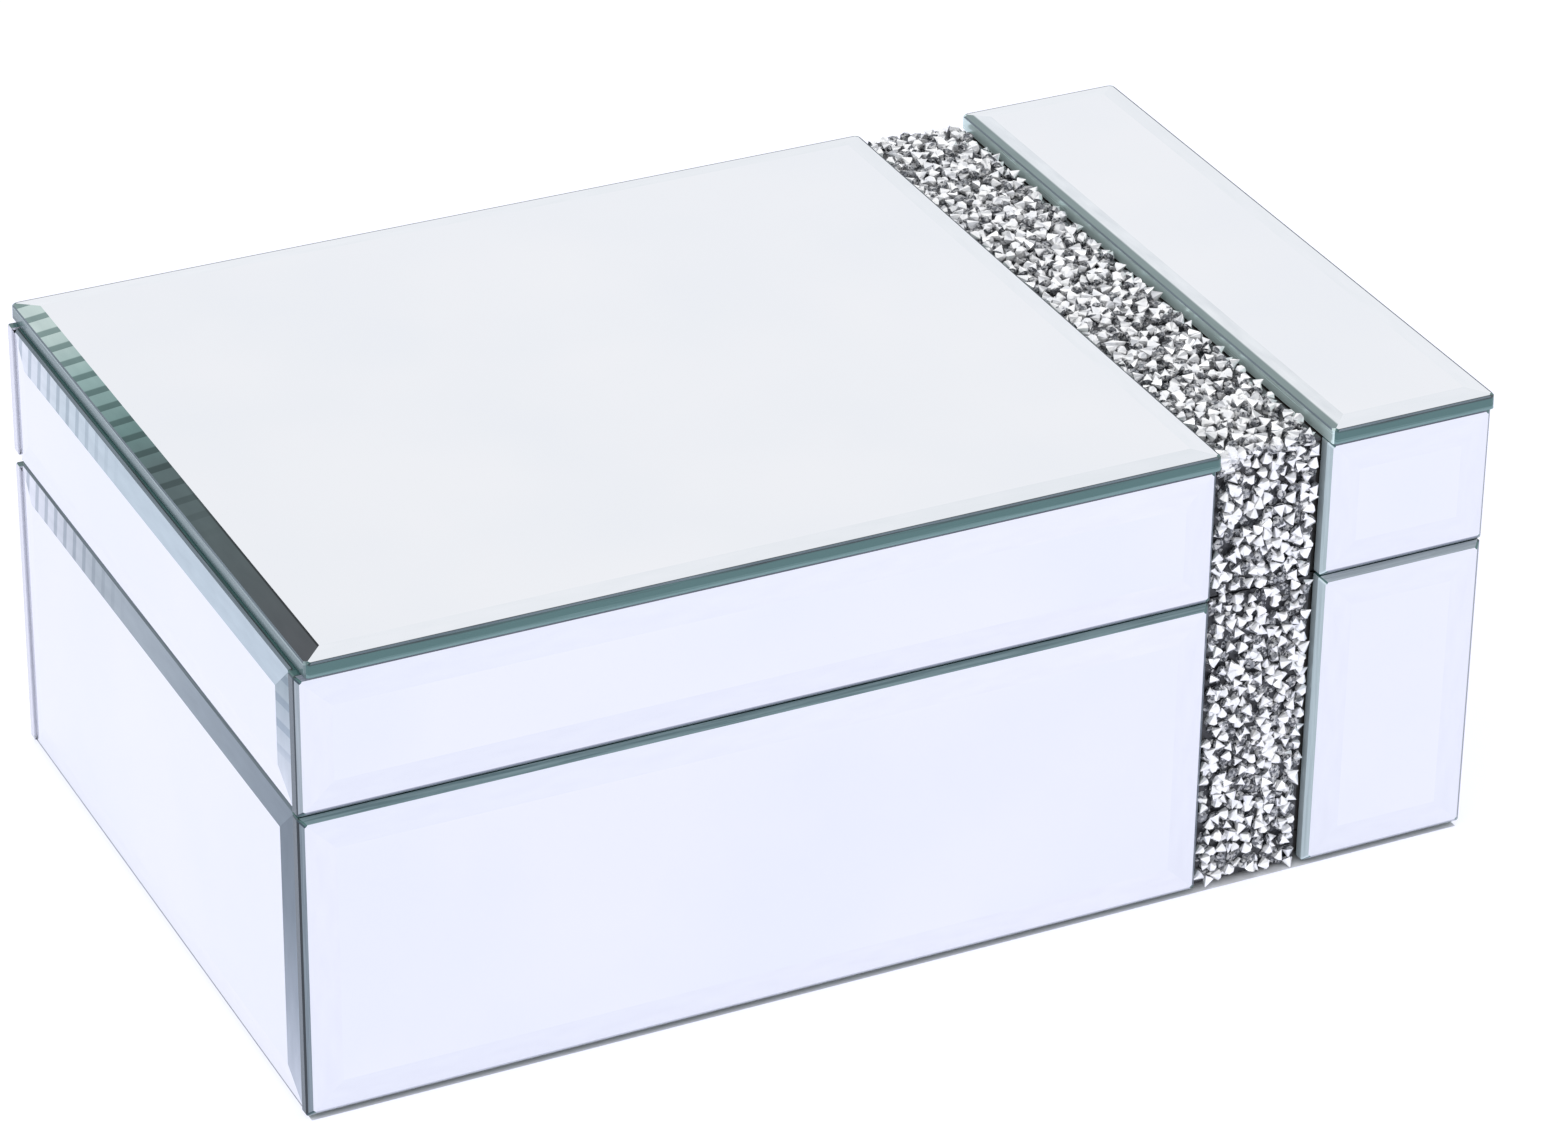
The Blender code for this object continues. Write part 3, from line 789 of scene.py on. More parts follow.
def run_tree(tree: bpy.types.NodeTree, name: str, values: dict[str, Any]) -> bpy.types.Mesh:
    """Run a geometry tree on an empty mesh and keep the result as a plain mesh.

    Args:
        tree: the geometry tree.
        name: the mesh's name.
        values: input names with their values.

    Returns:
        The plain mesh.
    """
    holder = place_mesh(f"{name}_nodes", bpy.data.meshes.new(f"{name}_nodes"))
    step = holder.modifiers.new("nodes", "NODES")
    step.node_group = tree
    keys = {item.name: item.identifier for item in tree.interface.items_tree
            if item.item_type == "SOCKET" and item.in_out == "INPUT"}
    for key, value in values.items():
        step[keys[key]] = value
    mesh = evaluated(holder, name)
    kept = [m for m in mesh.materials if m]
    places = [kept.index(mesh.materials[p.material_index]) for p in mesh.polygons]
    mesh.materials.clear()
    for material in kept:
        mesh.materials.append(material)
    mesh.polygons.foreach_set("material_index", places)
    return mesh


def settle(piece: bpy.types.Object, body: Body, nodes: list[str]) -> bpy.types.Object:
    """Hang a finished piece on its body in place of its CAD nodes, and report it.

    Args:
        piece: the finished object.
        body: the body it rides.
        nodes: the CAD nodes it stands for.

    Returns:
        The same object.
    """
    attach(piece, body.value)
    if nodes:
        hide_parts(*nodes)
    log.info("%s rides %s, %d faces", piece.name, body.value, len(piece.data.polygons))
    return piece


# ---------------------------------------------------------------------------- mirror plates


@dataclass
class MirrorPlate:
    """One bevelled mirror plate in the place of its CAD node."""

    node: str
    body: Body
    outward: tuple[int, int, int]
    up: tuple[int, int, int]
    slope: Finish = CLEAR_BEVEL
    rim: Finish = ARRIS
    bevel: float = 6.0 * MM
    rise: float = 0.45 * MM
    arris: float = 0.9 * MM
    corner: float = 0.45 * MM
    # Width of the painted light ring round the back face.
    back_arris: float = 1.2 * MM
    bevels: dict[Side, Finish] = field(default_factory=dict)
    arrises: dict[Side, Finish] = field(default_factory=dict)
    edges: dict[Side, Finish] = field(default_factory=dict)

    def build(self, tree: bpy.types.NodeTree) -> bpy.types.Object:
        """Make the plate's mesh and stand it in its place.

        Args:
            tree: the geometry tree of the bevelled plate.

        Returns:
            The finished object.
        """
        low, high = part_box(self.node)
        turn = facing(self.outward, self.up)
        size = turn.inverted().to_3x3() @ (high - low)
        width, height, depth = (abs(v) for v in size)
        name = self.node.replace("mirror_", "plate_")
        sawn = depth - self.rise - self.arris
        mesh = run_tree(tree, name, {
            "Width": width, "Height": height, "Thickness": sawn,
            "Bevel": self.bevel, "Rise": self.rise, "Arris": self.arris,
            "Edge": GREEN_EDGE.material(), "Rim": self.rim.material(),
            "Slope": self.slope.material(), "Face": MIRROR.material(),
            "Back": BACKING.material()})
        self.dress(mesh, width, height, sawn)
        middle = (low + high) / 2 - Vector(self.outward) * depth / 2
        mesh.transform(Matrix.Translation(middle) @ turn)
        piece = place_mesh(name, mesh)
        return settle(piece, self.body, [self.node])

    def dress(self, mesh: bpy.types.Mesh, width: float, height: float, sawn: float) -> None:
        """Round the corners, ring the back with painted light, name each side's finish and lay the
        run map.

        Args:
            mesh: the plate, its back on the plane z = 0.
            width: its width.
            height: its height.
            sawn: how far up its sawn edge reaches.
        """
        work = bmesh.new()
        work.from_mesh(mesh)
        bmesh.ops.remove_doubles(work, verts=work.verts, dist=HAIR)
        zone = self.arris + SLACK
        corners = [e for e in work.edges if abs(e.verts[0].co.z - e.verts[1].co.z) > SLACK
                   and all(abs(v.co.x) > width / 2 - zone and abs(v.co.y) > height / 2 - zone
                           for v in e.verts)]
        bmesh.ops.bevel(work, geom=corners, offset=self.corner, segments=4, profile=0.5,
                        affect="EDGES", clamp_overlap=True)
        slots = {m.name: i for i, m in enumerate(mesh.materials)}
        # Painted light: a ring round the back face takes the pale edge colour in place of the
        # backing paint, so the gaps between plates show light.
        rear = [f for f in work.faces if f.normal.z < -LEVEL]
        ring = bmesh.ops.inset_region(work, faces=rear, thickness=self.back_arris)["faces"]
        slots[PAINTED_LIGHT_EDGE.name] = len(mesh.materials)
        mesh.materials.append(PAINTED_LIGHT_EDGE.material())
        for face in ring:
            face.material_index = slots[PAINTED_LIGHT_EDGE.name]
        layer = work.loops.layers.uv.new(RUN)
        half = Vector((width / 2, height / 2))
        for face in work.faces:
            self.finish_face(face, mesh, slots)
            along = 1 if abs(face.normal.x) > abs(face.normal.y) else 0
            for loop in face.loops:
                place = loop.vert.co
                inward = half[1 - along] - abs(place[1 - along])
                loop[layer].uv = (place[along], inward + max(sawn - place.z, 0.0))
        work.to_mesh(mesh)
        work.free()

    def finish_face(self, face: bmesh.types.BMFace, mesh: bpy.types.Mesh,
                    slots: dict[str, int]) -> None:
        """Give one face the finish of its side.

        Args:
            face: the face.
            mesh: the mesh whose slots are used.
            slots: material names with their slot numbers.
        """
        normal = face.normal
        across = abs(normal.x) > abs(normal.y)
        side = Side((int(math.copysign(1, normal.x)), 0) if across else
                    (0, int(math.copysign(1, normal.y))))
        named = mesh.materials[face.material_index].name
        table = {self.slope.name: self.bevels, self.rim.name: self.arrises,
                 GREEN_EDGE.name: self.edges}.get(named, {})
        finish = table.get(side)
        if finish:
            if finish.name not in slots:
                slots[finish.name] = len(mesh.materials)
                mesh.materials.append(finish.material())
            face.material_index = slots[finish.name]


@dataclass
class MirrorCladding:
    """The twelve plates glued outside the lid and the base."""

    top_bevel: float = 4.4 * MM
    top_rise: float = 0.5 * MM
    top_arris: float = 0.22 * MM
    top_corner: float = 0.9 * MM
    lid_arris: float = 0.9 * MM
    base_arris: float = 1.1 * MM
    side_arris: float = 0.45 * MM
    plates: list[MirrorPlate] = field(default_factory=list)

    def tree(self) -> bpy.types.NodeTree:
        """Draw the geometry tree of a plate: a block, a rim chamfer and a wide sloping bevel.

        Returns:
            The tree, which stands the plate's back on the plane z = 0.
        """
        tree = bpy.data.node_groups.new("bevelled_plate", "GeometryNodeTree")
        given = grouped_inputs(tree, {
            "Width": "Float", "Height": "Float", "Thickness": "Float", "Bevel": "Float",
            "Rise": "Float", "Arris": "Float", "Edge": "Material", "Rim": "Material",
            "Slope": "Material", "Face": "Material", "Back": "Material"}).outputs
        size = add_node(tree, "ShaderNodeCombineXYZ", inputs={
            0: given["Width"], 1: given["Height"], 2: given["Thickness"]})
        cube = add_node(tree, "GeometryNodeMeshCube", inputs={"Size": size.outputs[0]})
        half = add_node(tree, "ShaderNodeMath", {"operation": "MULTIPLY"}, {
            0: given["Thickness"], 1: 0.5})
        lift = add_node(tree, "ShaderNodeCombineXYZ", inputs={2: half.outputs[0]})
        stood = add_node(tree, "GeometryNodeTransform", inputs={
            "Geometry": cube.outputs["Mesh"], "Translation": lift.outputs[0]})
        dressed = add_node(tree, "GeometryNodeSetMaterial", inputs={
            "Geometry": stood.outputs[0], "Material": given["Edge"]})
        normal = add_node(tree, "GeometryNodeInputNormal")
        facing_z = add_node(tree, "ShaderNodeSeparateXYZ", inputs={0: normal.outputs[0]})
        front = add_node(tree, "FunctionNodeCompare", {"operation": "GREATER_THAN"}, {
            0: facing_z.outputs["Z"], 1: LEVEL})
        back = add_node(tree, "FunctionNodeCompare", {"operation": "LESS_THAN"}, {
            0: facing_z.outputs["Z"], 1: -LEVEL})
        backed = add_node(tree, "GeometryNodeSetMaterial", inputs={
            "Geometry": dressed.outputs[0], "Selection": back.outputs[0],
            "Material": given["Back"]})
        rim = self.inset(tree, backed.outputs[0], front.outputs[0], given["Arris"],
                         given["Arris"])
        slope = self.inset(tree, rim[0], rim[1], given["Bevel"], given["Rise"])
        ringed = add_node(tree, "GeometryNodeSetMaterial", inputs={
            "Geometry": slope[0], "Selection": rim[2], "Material": given["Rim"]})
        sloped = add_node(tree, "GeometryNodeSetMaterial", inputs={
            "Geometry": ringed.outputs[0], "Selection": slope[2], "Material": given["Slope"]})
        real = add_node(tree, "GeometryNodeRealizeInstances", inputs={0: sloped.outputs[0]})
        faced = add_node(tree, "GeometryNodeSetMaterial", inputs={
            "Geometry": real.outputs[0], "Selection": slope[1], "Material": given["Face"]})
        add_node(tree, "NodeGroupOutput", inputs={"Geometry": faced.outputs[0]})
        return tree

    def inset(self, tree: bpy.types.NodeTree, geometry: bpy.types.NodeSocket,
              selection: bpy.types.NodeSocket, width: bpy.types.NodeSocket,
              rise: bpy.types.NodeSocket) -> tuple[Any, Any, Any]:
        """Raise the selected face and draw its corners in by one width.

        Args:
            tree: the geometry tree.
            geometry: what to work on.
            selection: the face to raise.
            width: how far each corner moves in.
            rise: how far the face moves out.

        Returns:
            The geometry, the raised face and the ring of faces round it.
        """
        pulled = add_node(tree, "GeometryNodeExtrudeMesh", {"mode": "FACES"}, {
            "Mesh": geometry, "Selection": selection, "Offset Scale": 0.0, "Individual": False})
        place = add_node(tree, "GeometryNodeInputPosition")
        parts = add_node(tree, "ShaderNodeSeparateXYZ", inputs={0: place.outputs[0]})
        moves = []
        for axis in ("X", "Y"):
            sign = add_node(tree, "ShaderNodeMath", {"operation": "SIGN"}, {
                0: parts.outputs[axis]})
            minus = add_node(tree, "ShaderNodeMath", {"operation": "MULTIPLY"}, {
                0: sign.outputs[0], 1: -1.0})
            moves.append(add_node(tree, "ShaderNodeMath", {"operation": "MULTIPLY"}, {
                0: minus.outputs[0], 1: width}).outputs[0])
        offset = add_node(tree, "ShaderNodeCombineXYZ", inputs={
            0: moves[0], 1: moves[1], 2: rise})
        moved = add_node(tree, "GeometryNodeSetPosition", inputs={
            "Geometry": pulled.outputs["Mesh"], "Selection": pulled.outputs["Top"],
            "Offset": offset.outputs[0]})
        return moved.outputs[0], pulled.outputs["Top"], pulled.outputs["Side"]

    def plan(self) -> None:
        """List the plates with the finishes of their sides."""
        top, front, back, up = (0, 0, 1), (0, -1, 0), (0, 1, 0), (0, 0, 1)
        # Each side takes its own copy of the bevel, arris and edge finishes, with painted light,
        # shade and reflection for its place.
        for side, slope, edge in (("left", DARK_REFLECTION_BEVEL, SIDE_EDGE),
                                  ("right", BAND_SIDE_BEVEL, BAND_EDGE)):
            self.plates.append(MirrorPlate(
                f"mirror_lid_top_{side}", Body.LID, top, (0, 1, 0), TOP_BEVEL, SLATE_ARRIS,
                self.top_bevel, self.top_rise, self.top_arris, self.top_corner,
                bevels={Side.LEFT: slope, Side.BOTTOM: TOP_FRONT_BEVEL,
                        Side.RIGHT: TOP_RIM_BEVEL, Side.TOP: TOP_RIM_BEVEL},
                edges={Side.LEFT: edge}))
        tones = {Body.LID: (LID_SIDE_BEVEL, LID_CORNER_BEVEL),
                 Body.BASE: (BASE_SIDE_BEVEL, BASE_CORNER_BEVEL)}
        for body, (ledge, corner) in tones.items():
            base = body is Body.BASE
            arris = self.base_arris if base else self.lid_arris
            foot = FOOT_BEVEL if base else LIP_BEVEL
            near_left = CORNER_ARRIS if base else LIP_ARRIS
            for side, upper, edge, beside in (("left", GREEN_ARRIS, DARK_EDGE, near_left),
                                              ("right", PALE_ARRIS, PALE_EDGE, TEAL_ARRIS)):
                arrises = {Side.LEFT: beside, Side.RIGHT: CLEAR_ARRIS}
                if base:
                    arrises |= {Side.TOP: upper, Side.BOTTOM: FOOT_ARRIS}
                self.plates.append(MirrorPlate(
                    f"mirror_{body.value}_front_{side}", body, front, up, arris=arris,
                    bevels={Side.BOTTOM: foot}, arrises=arrises, edges={Side.LEFT: edge}))
            for side, way, near, far, run in (
                    ("left", -1, Side.RIGHT, Side.LEFT, ledge),
                    ("right", 1, Side.LEFT, Side.RIGHT, ledge.mirrored())):
                self.plates.append(MirrorPlate(
                    f"mirror_{body.value}_{side}", body, (way, 0, 0), up, rim=SLATE_ARRIS,
                    arris=self.side_arris, bevels={Side.TOP: run, near: corner},
                    arrises={far: PAINTED_LIGHT_ARRIS}, edges={far: PAINTED_LIGHT_EDGE}))
            self.plates.append(MirrorPlate(
                f"mirror_{body.value}_back", body, back, up, arris=arris,
                arrises={side: PAINTED_LIGHT_ARRIS for side in (Side.LEFT, Side.RIGHT)},
                edges={side: PAINTED_LIGHT_EDGE for side in (Side.LEFT, Side.RIGHT)}))

    def build(self) -> None:
        """Make every plate."""
        self.plan()
        tree = self.tree()
        for plate in self.plates:
            plate.build(tree)


# ---------------------------------------------------------------------------- crystal band


@dataclass
class CrushedCrystals:
    """The band of poured stones: foil-backed cones and clear crowns lying every way."""

    radius: float = 1.22 * MM
    table: float = 0.7 * MM
    crown: float = 0.5 * MM
    pavilion: float = 2.05 * MM
    bed: float = 0.4 * MM
    close: float = 1.6 * MM
    apart: float = 2.1 * MM
    margin: float = 0.9 * MM
    lying: tuple[float, float] = (0.42, 0.8)
    levels: tuple[float, float] = (0.15, 0.95)
    shallow_crown: float = 0.2 * MM
    bed_cells: tuple[int, int] = (20, 120)
    lump: float = 2.0 * MM
    lump_height: float = 0.4 * MM
    most: float = 3.0e6
    upright: tuple[float, float] = (-0.6, 0.6)
    fallen: tuple[float, float] = (1.62, 2.25)
    sizes: tuple[float, float] = (0.82, 1.12)
    unevenness: float = 0.25
    layer_seed: float = 17.0
    layer_salt: int = 100

    def stone(self, name: str, sides: int, crown: float) -> bpy.types.Object:
        """Cut one stone: a flat table, a crown and a foil-backed cone.

        Args:
            name: the stone's name.
            sides: how many facets go round it.
            crown: the height of its crown.

        Returns:
            The stone as an unlinked object, its girdle on the plane z = 0.
        """
        work = bmesh.new()
        rings = []
        for radius, z in ((self.table, crown), (self.radius, 0.0)):
            rings.append([work.verts.new((radius * math.cos(math.tau * i / sides),
                                          radius * math.sin(math.tau * i / sides), z))
                          for i in range(sides)])
        tip = work.verts.new((0.0, 0.0, -self.pavilion))
        work.faces.new(rings[0])
        for i in range(sides):
            j = (i + 1) % sides
            work.faces.new((rings[1][i], rings[1][j], rings[0][j], rings[0][i]))
            work.faces.new((rings[1][j], rings[1][i], tip)).material_index = 1
        bmesh.ops.recalc_face_normals(work, faces=work.faces)
        mesh = bpy.data.meshes.new(name)
        work.to_mesh(mesh)
        work.free()
        for finish in (CRYSTAL, FOIL):
            mesh.materials.append(finish.material())
        return bpy.data.objects.new(name, mesh)

    def tree(self) -> bpy.types.NodeTree:
        """Draw the geometry tree of a strip: a lumpy bed and two layers of tumbled stones.

        Returns:
            The tree, whose strip lies on the plane z = 0 and faces +Z.
        """
        tree = bpy.data.node_groups.new("crushed_crystal_strip", "GeometryNodeTree")
        given = grouped_inputs(tree, {
            "Width": "Float", "Length": "Float", "Bed": "Float", "Margin": "Float",
            "Near End": "Float", "Far End": "Float", "Close": "Float", "Apart": "Float",
            "Seed": "Int", "Round Stone": "Object", "Sharp Stone": "Object",
            "Glue": "Material"}).outputs
        size = add_node(tree, "ShaderNodeCombineXYZ", inputs={
            0: given["Width"], 1: given["Length"], 2: given["Bed"]})
        slab = add_node(tree, "GeometryNodeMeshCube", inputs={
            "Size": size.outputs[0], "Vertices X": self.bed_cells[0],
            "Vertices Y": self.bed_cells[1], "Vertices Z": 2})
        half = add_node(tree, "ShaderNodeMath", {"operation": "MULTIPLY"}, {
            0: given["Bed"], 1: 0.5})
        lift = add_node(tree, "ShaderNodeCombineXYZ", inputs={2: half.outputs[0]})
        raised = add_node(tree, "GeometryNodeTransform", inputs={
            "Geometry": slab.outputs["Mesh"], "Translation": lift.outputs[0]})
        place = add_node(tree, "GeometryNodeInputPosition")
        high = add_node(tree, "ShaderNodeSeparateXYZ", inputs={0: place.outputs[0]})
        on_top = add_node(tree, "FunctionNodeCompare", {"operation": "GREATER_THAN"}, {
            0: high.outputs["Z"], 1: half.outputs[0]})
        lumps = add_node(tree, "ShaderNodeTexNoise", inputs={
            "Vector": place.outputs[0], "Scale": 1 / self.lump, "Detail": 2.0})
        swell = add_node(tree, "ShaderNodeMath", {"operation": "MULTIPLY"}, {
            0: lumps.outputs["Fac"], 1: self.lump_height})
        offset = add_node(tree, "ShaderNodeCombineXYZ", inputs={2: swell.outputs[0]})
        poured = add_node(tree, "GeometryNodeSetPosition", inputs={
            "Geometry": raised.outputs[0], "Selection": on_top.outputs[0],
            "Offset": offset.outputs[0]})
        glued = add_node(tree, "GeometryNodeSetMaterial", inputs={
            "Geometry": poured.outputs[0], "Material": given["Glue"]})
        layers = [self.layer(tree, given, given[spacing], height, index)
                  for index, (spacing, height) in enumerate(zip(("Close", "Apart"), self.levels))]
        joined = add_node(tree, "GeometryNodeJoinGeometry")
        for layer in layers:
            tree.links.new(layer, joined.inputs[0])
        real = add_node(tree, "GeometryNodeRealizeInstances", inputs={0: joined.outputs[0]})
        whole = add_node(tree, "GeometryNodeJoinGeometry")
        tree.links.new(real.outputs[0], whole.inputs[0])
        tree.links.new(glued.outputs[0], whole.inputs[0])
        add_node(tree, "NodeGroupOutput", inputs={"Geometry": whole.outputs[0]})
        return tree

    def layer(self, tree: bpy.types.NodeTree, given: Any, spacing: bpy.types.NodeSocket,
              height: float, index: int) -> bpy.types.NodeSocket:
        """Scatter one layer of stones over the strip.

        Args:
            tree: the geometry tree.
            given: the tree's inputs.
            spacing: the least distance between stones.
            height: how high above the bed the layer lies, in millimetres.
            index: the layer's number, which keeps its seed apart from the other's.

        Returns:
            The layer's instances.
        """
        wide = add_node(tree, "ShaderNodeMath", {"operation": "MULTIPLY_ADD"}, {
            0: given["Margin"], 1: -2.0, 2: given["Width"]})
        ends = add_node(tree, "ShaderNodeMath", {"operation": "ADD"}, {
            0: given["Near End"], 1: given["Far End"]})
        long = add_node(tree, "ShaderNodeMath", {"operation": "SUBTRACT"}, {
            0: given["Length"], 1: ends.outputs[0]})
        grid = add_node(tree, "GeometryNodeMeshGrid", inputs={
            "Size X": wide.outputs[0], "Size Y": long.outputs[0], "Vertices X": 2,
            "Vertices Y": 2})
        uneven = add_node(tree, "ShaderNodeMath", {"operation": "SUBTRACT"}, {
            0: given["Near End"], 1: given["Far End"]})
        slide = add_node(tree, "ShaderNodeMath", {"operation": "MULTIPLY"}, {
            0: uneven.outputs[0], 1: 0.5})
        seed = add_node(tree, "ShaderNodeMath", {"operation": "ADD"}, {
            0: given["Seed"], 1: self.layer_seed * index})
        points = add_node(tree, "GeometryNodeDistributePointsOnFaces",
                          {"distribute_method": "POISSON"}, {
                              "Mesh": grid.outputs["Mesh"], "Distance Min": spacing,
                              "Density Max": self.most, "Seed": seed.outputs[0]})

        def chance(low: float, high: float, salt: int) -> bpy.types.NodeSocket:
            """A random number for each stone, between low and high."""
            return add_node(tree, "FunctionNodeRandomValue", {"data_type": "FLOAT"}, {
                2: low, 3: high, 8: self.layer_salt * index + salt}).outputs[1]

        lying = add_node(tree, "FunctionNodeRandomValue", {"data_type": "BOOLEAN"}, {
            6: self.lying[index], 8: self.layer_salt * index + 1})
        tilt = add_node(tree, "GeometryNodeSwitch", {"input_type": "FLOAT"}, {
            "Switch": lying.outputs[3], "False": chance(*self.upright, 2),
            "True": chance(*self.fallen, 3)})
        lean = add_node(tree, "ShaderNodeCombineXYZ", inputs={
            0: tilt.outputs[0], 2: chance(0.0, math.tau, 4)})
        leaning = add_node(tree, "FunctionNodeEulerToRotation", inputs={0: lean.outputs[0]})
        spin = add_node(tree, "ShaderNodeCombineXYZ", inputs={2: chance(0.0, math.tau, 5)})
        spinning = add_node(tree, "FunctionNodeEulerToRotation", inputs={0: spin.outputs[0]})
        turned = add_node(tree, "FunctionNodeRotateRotation", {"rotation_space": "LOCAL"}, {
            0: leaning.outputs[0], 1: spinning.outputs[0]})
        lift = add_node(tree, "ShaderNodeMath", {"operation": "MULTIPLY_ADD"}, {
            0: chance(-self.unevenness, self.unevenness, 7), 1: MM, 2: given["Bed"]})
        raised = add_node(tree, "ShaderNodeMath", {"operation": "ADD"}, {
            0: lift.outputs[0], 1: height * MM})
        offset = add_node(tree, "ShaderNodeCombineXYZ", inputs={
            1: slide.outputs[0], 2: raised.outputs[0]})
        moved = add_node(tree, "GeometryNodeSetPosition", inputs={
            "Geometry": points.outputs["Points"], "Offset": offset.outputs[0]})
        kinds = add_node(tree, "GeometryNodeJoinGeometry")
        for name in ("Round Stone", "Sharp Stone"):
            shape = add_node(tree, "GeometryNodeObjectInfo", inputs={
                "Object": given[name], "As Instance": True})
            tree.links.new(shape.outputs["Geometry"], kinds.inputs[0])
        return add_node(tree, "GeometryNodeInstanceOnPoints", inputs={
            "Points": moved.outputs[0], "Instance": kinds.outputs[0], "Pick Instance": True,
            "Instance Index": lying.outputs[3], "Rotation": turned.outputs[0],
            "Scale": chance(*self.sizes, 6)}).outputs[0]

    def build(self) -> None:
        """Make the three strips."""
        tree = self.tree()
        stones = (self.stone("round_stone", 8, self.crown),
                  self.stone("sharp_stone", 6, self.shallow_crown))
        # The last two numbers of a strip are how far its stones stop short of its ends, in
        # millimetres; a negative one runs on round the lid's front edge.
        strips = (("crystal_band_lid_top", Body.LID, (0, 0, 1), (0, 1, 0), 3, -0.3, 0.9),
                  ("crystal_band_lid_front", Body.LID, (0, -1, 0), (0, 0, 1), 11, 0.7, -1.7),
                  ("crystal_band_base_front", Body.BASE, (0, -1, 0), (0, 0, 1), 23, 0.8, 0.65))
        for node, body, outward, up, seed, near, far in strips:
            low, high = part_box(node)
            turn = facing(outward, up)
            size = turn.inverted().to_3x3() @ (high - low)
            mesh = run_tree(tree, node.replace("crystal_band", "crushed_crystals"), {
                "Width": abs(size.x), "Length": abs(size.y), "Bed": self.bed,
                "Margin": self.margin, "Near End": near * MM, "Far End": far * MM,
                "Close": self.close, "Apart": self.apart, "Seed": seed,
                "Round Stone": stones[0], "Sharp Stone": stones[1], "Glue": RESIN.material()})
            middle = (low + high) / 2 - Vector(outward) * abs(size.z) / 2
            mesh.transform(Matrix.Translation(middle) @ turn)
            settle(place_mesh(mesh.name, mesh), body, [node])
        for stone in stones:
            bpy.data.objects.remove(stone, do_unlink=True)


# ---------------------------------------------------------------------------- boards


@dataclass
class BoardCarcass:
    """The ten fibreboard panels of the base and the lid, kept as packed."""

    prefix: str = "board_"

    def dress(self) -> None:
        """Paint every panel."""
        for name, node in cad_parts.items():
            if name.startswith(self.prefix):
                for place in node.material_slots:
                    place.material = FIBREBOARD.material()
                log.info("%s kept and painted", name)


# ---------------------------------------------------------------------------- velvet and felt


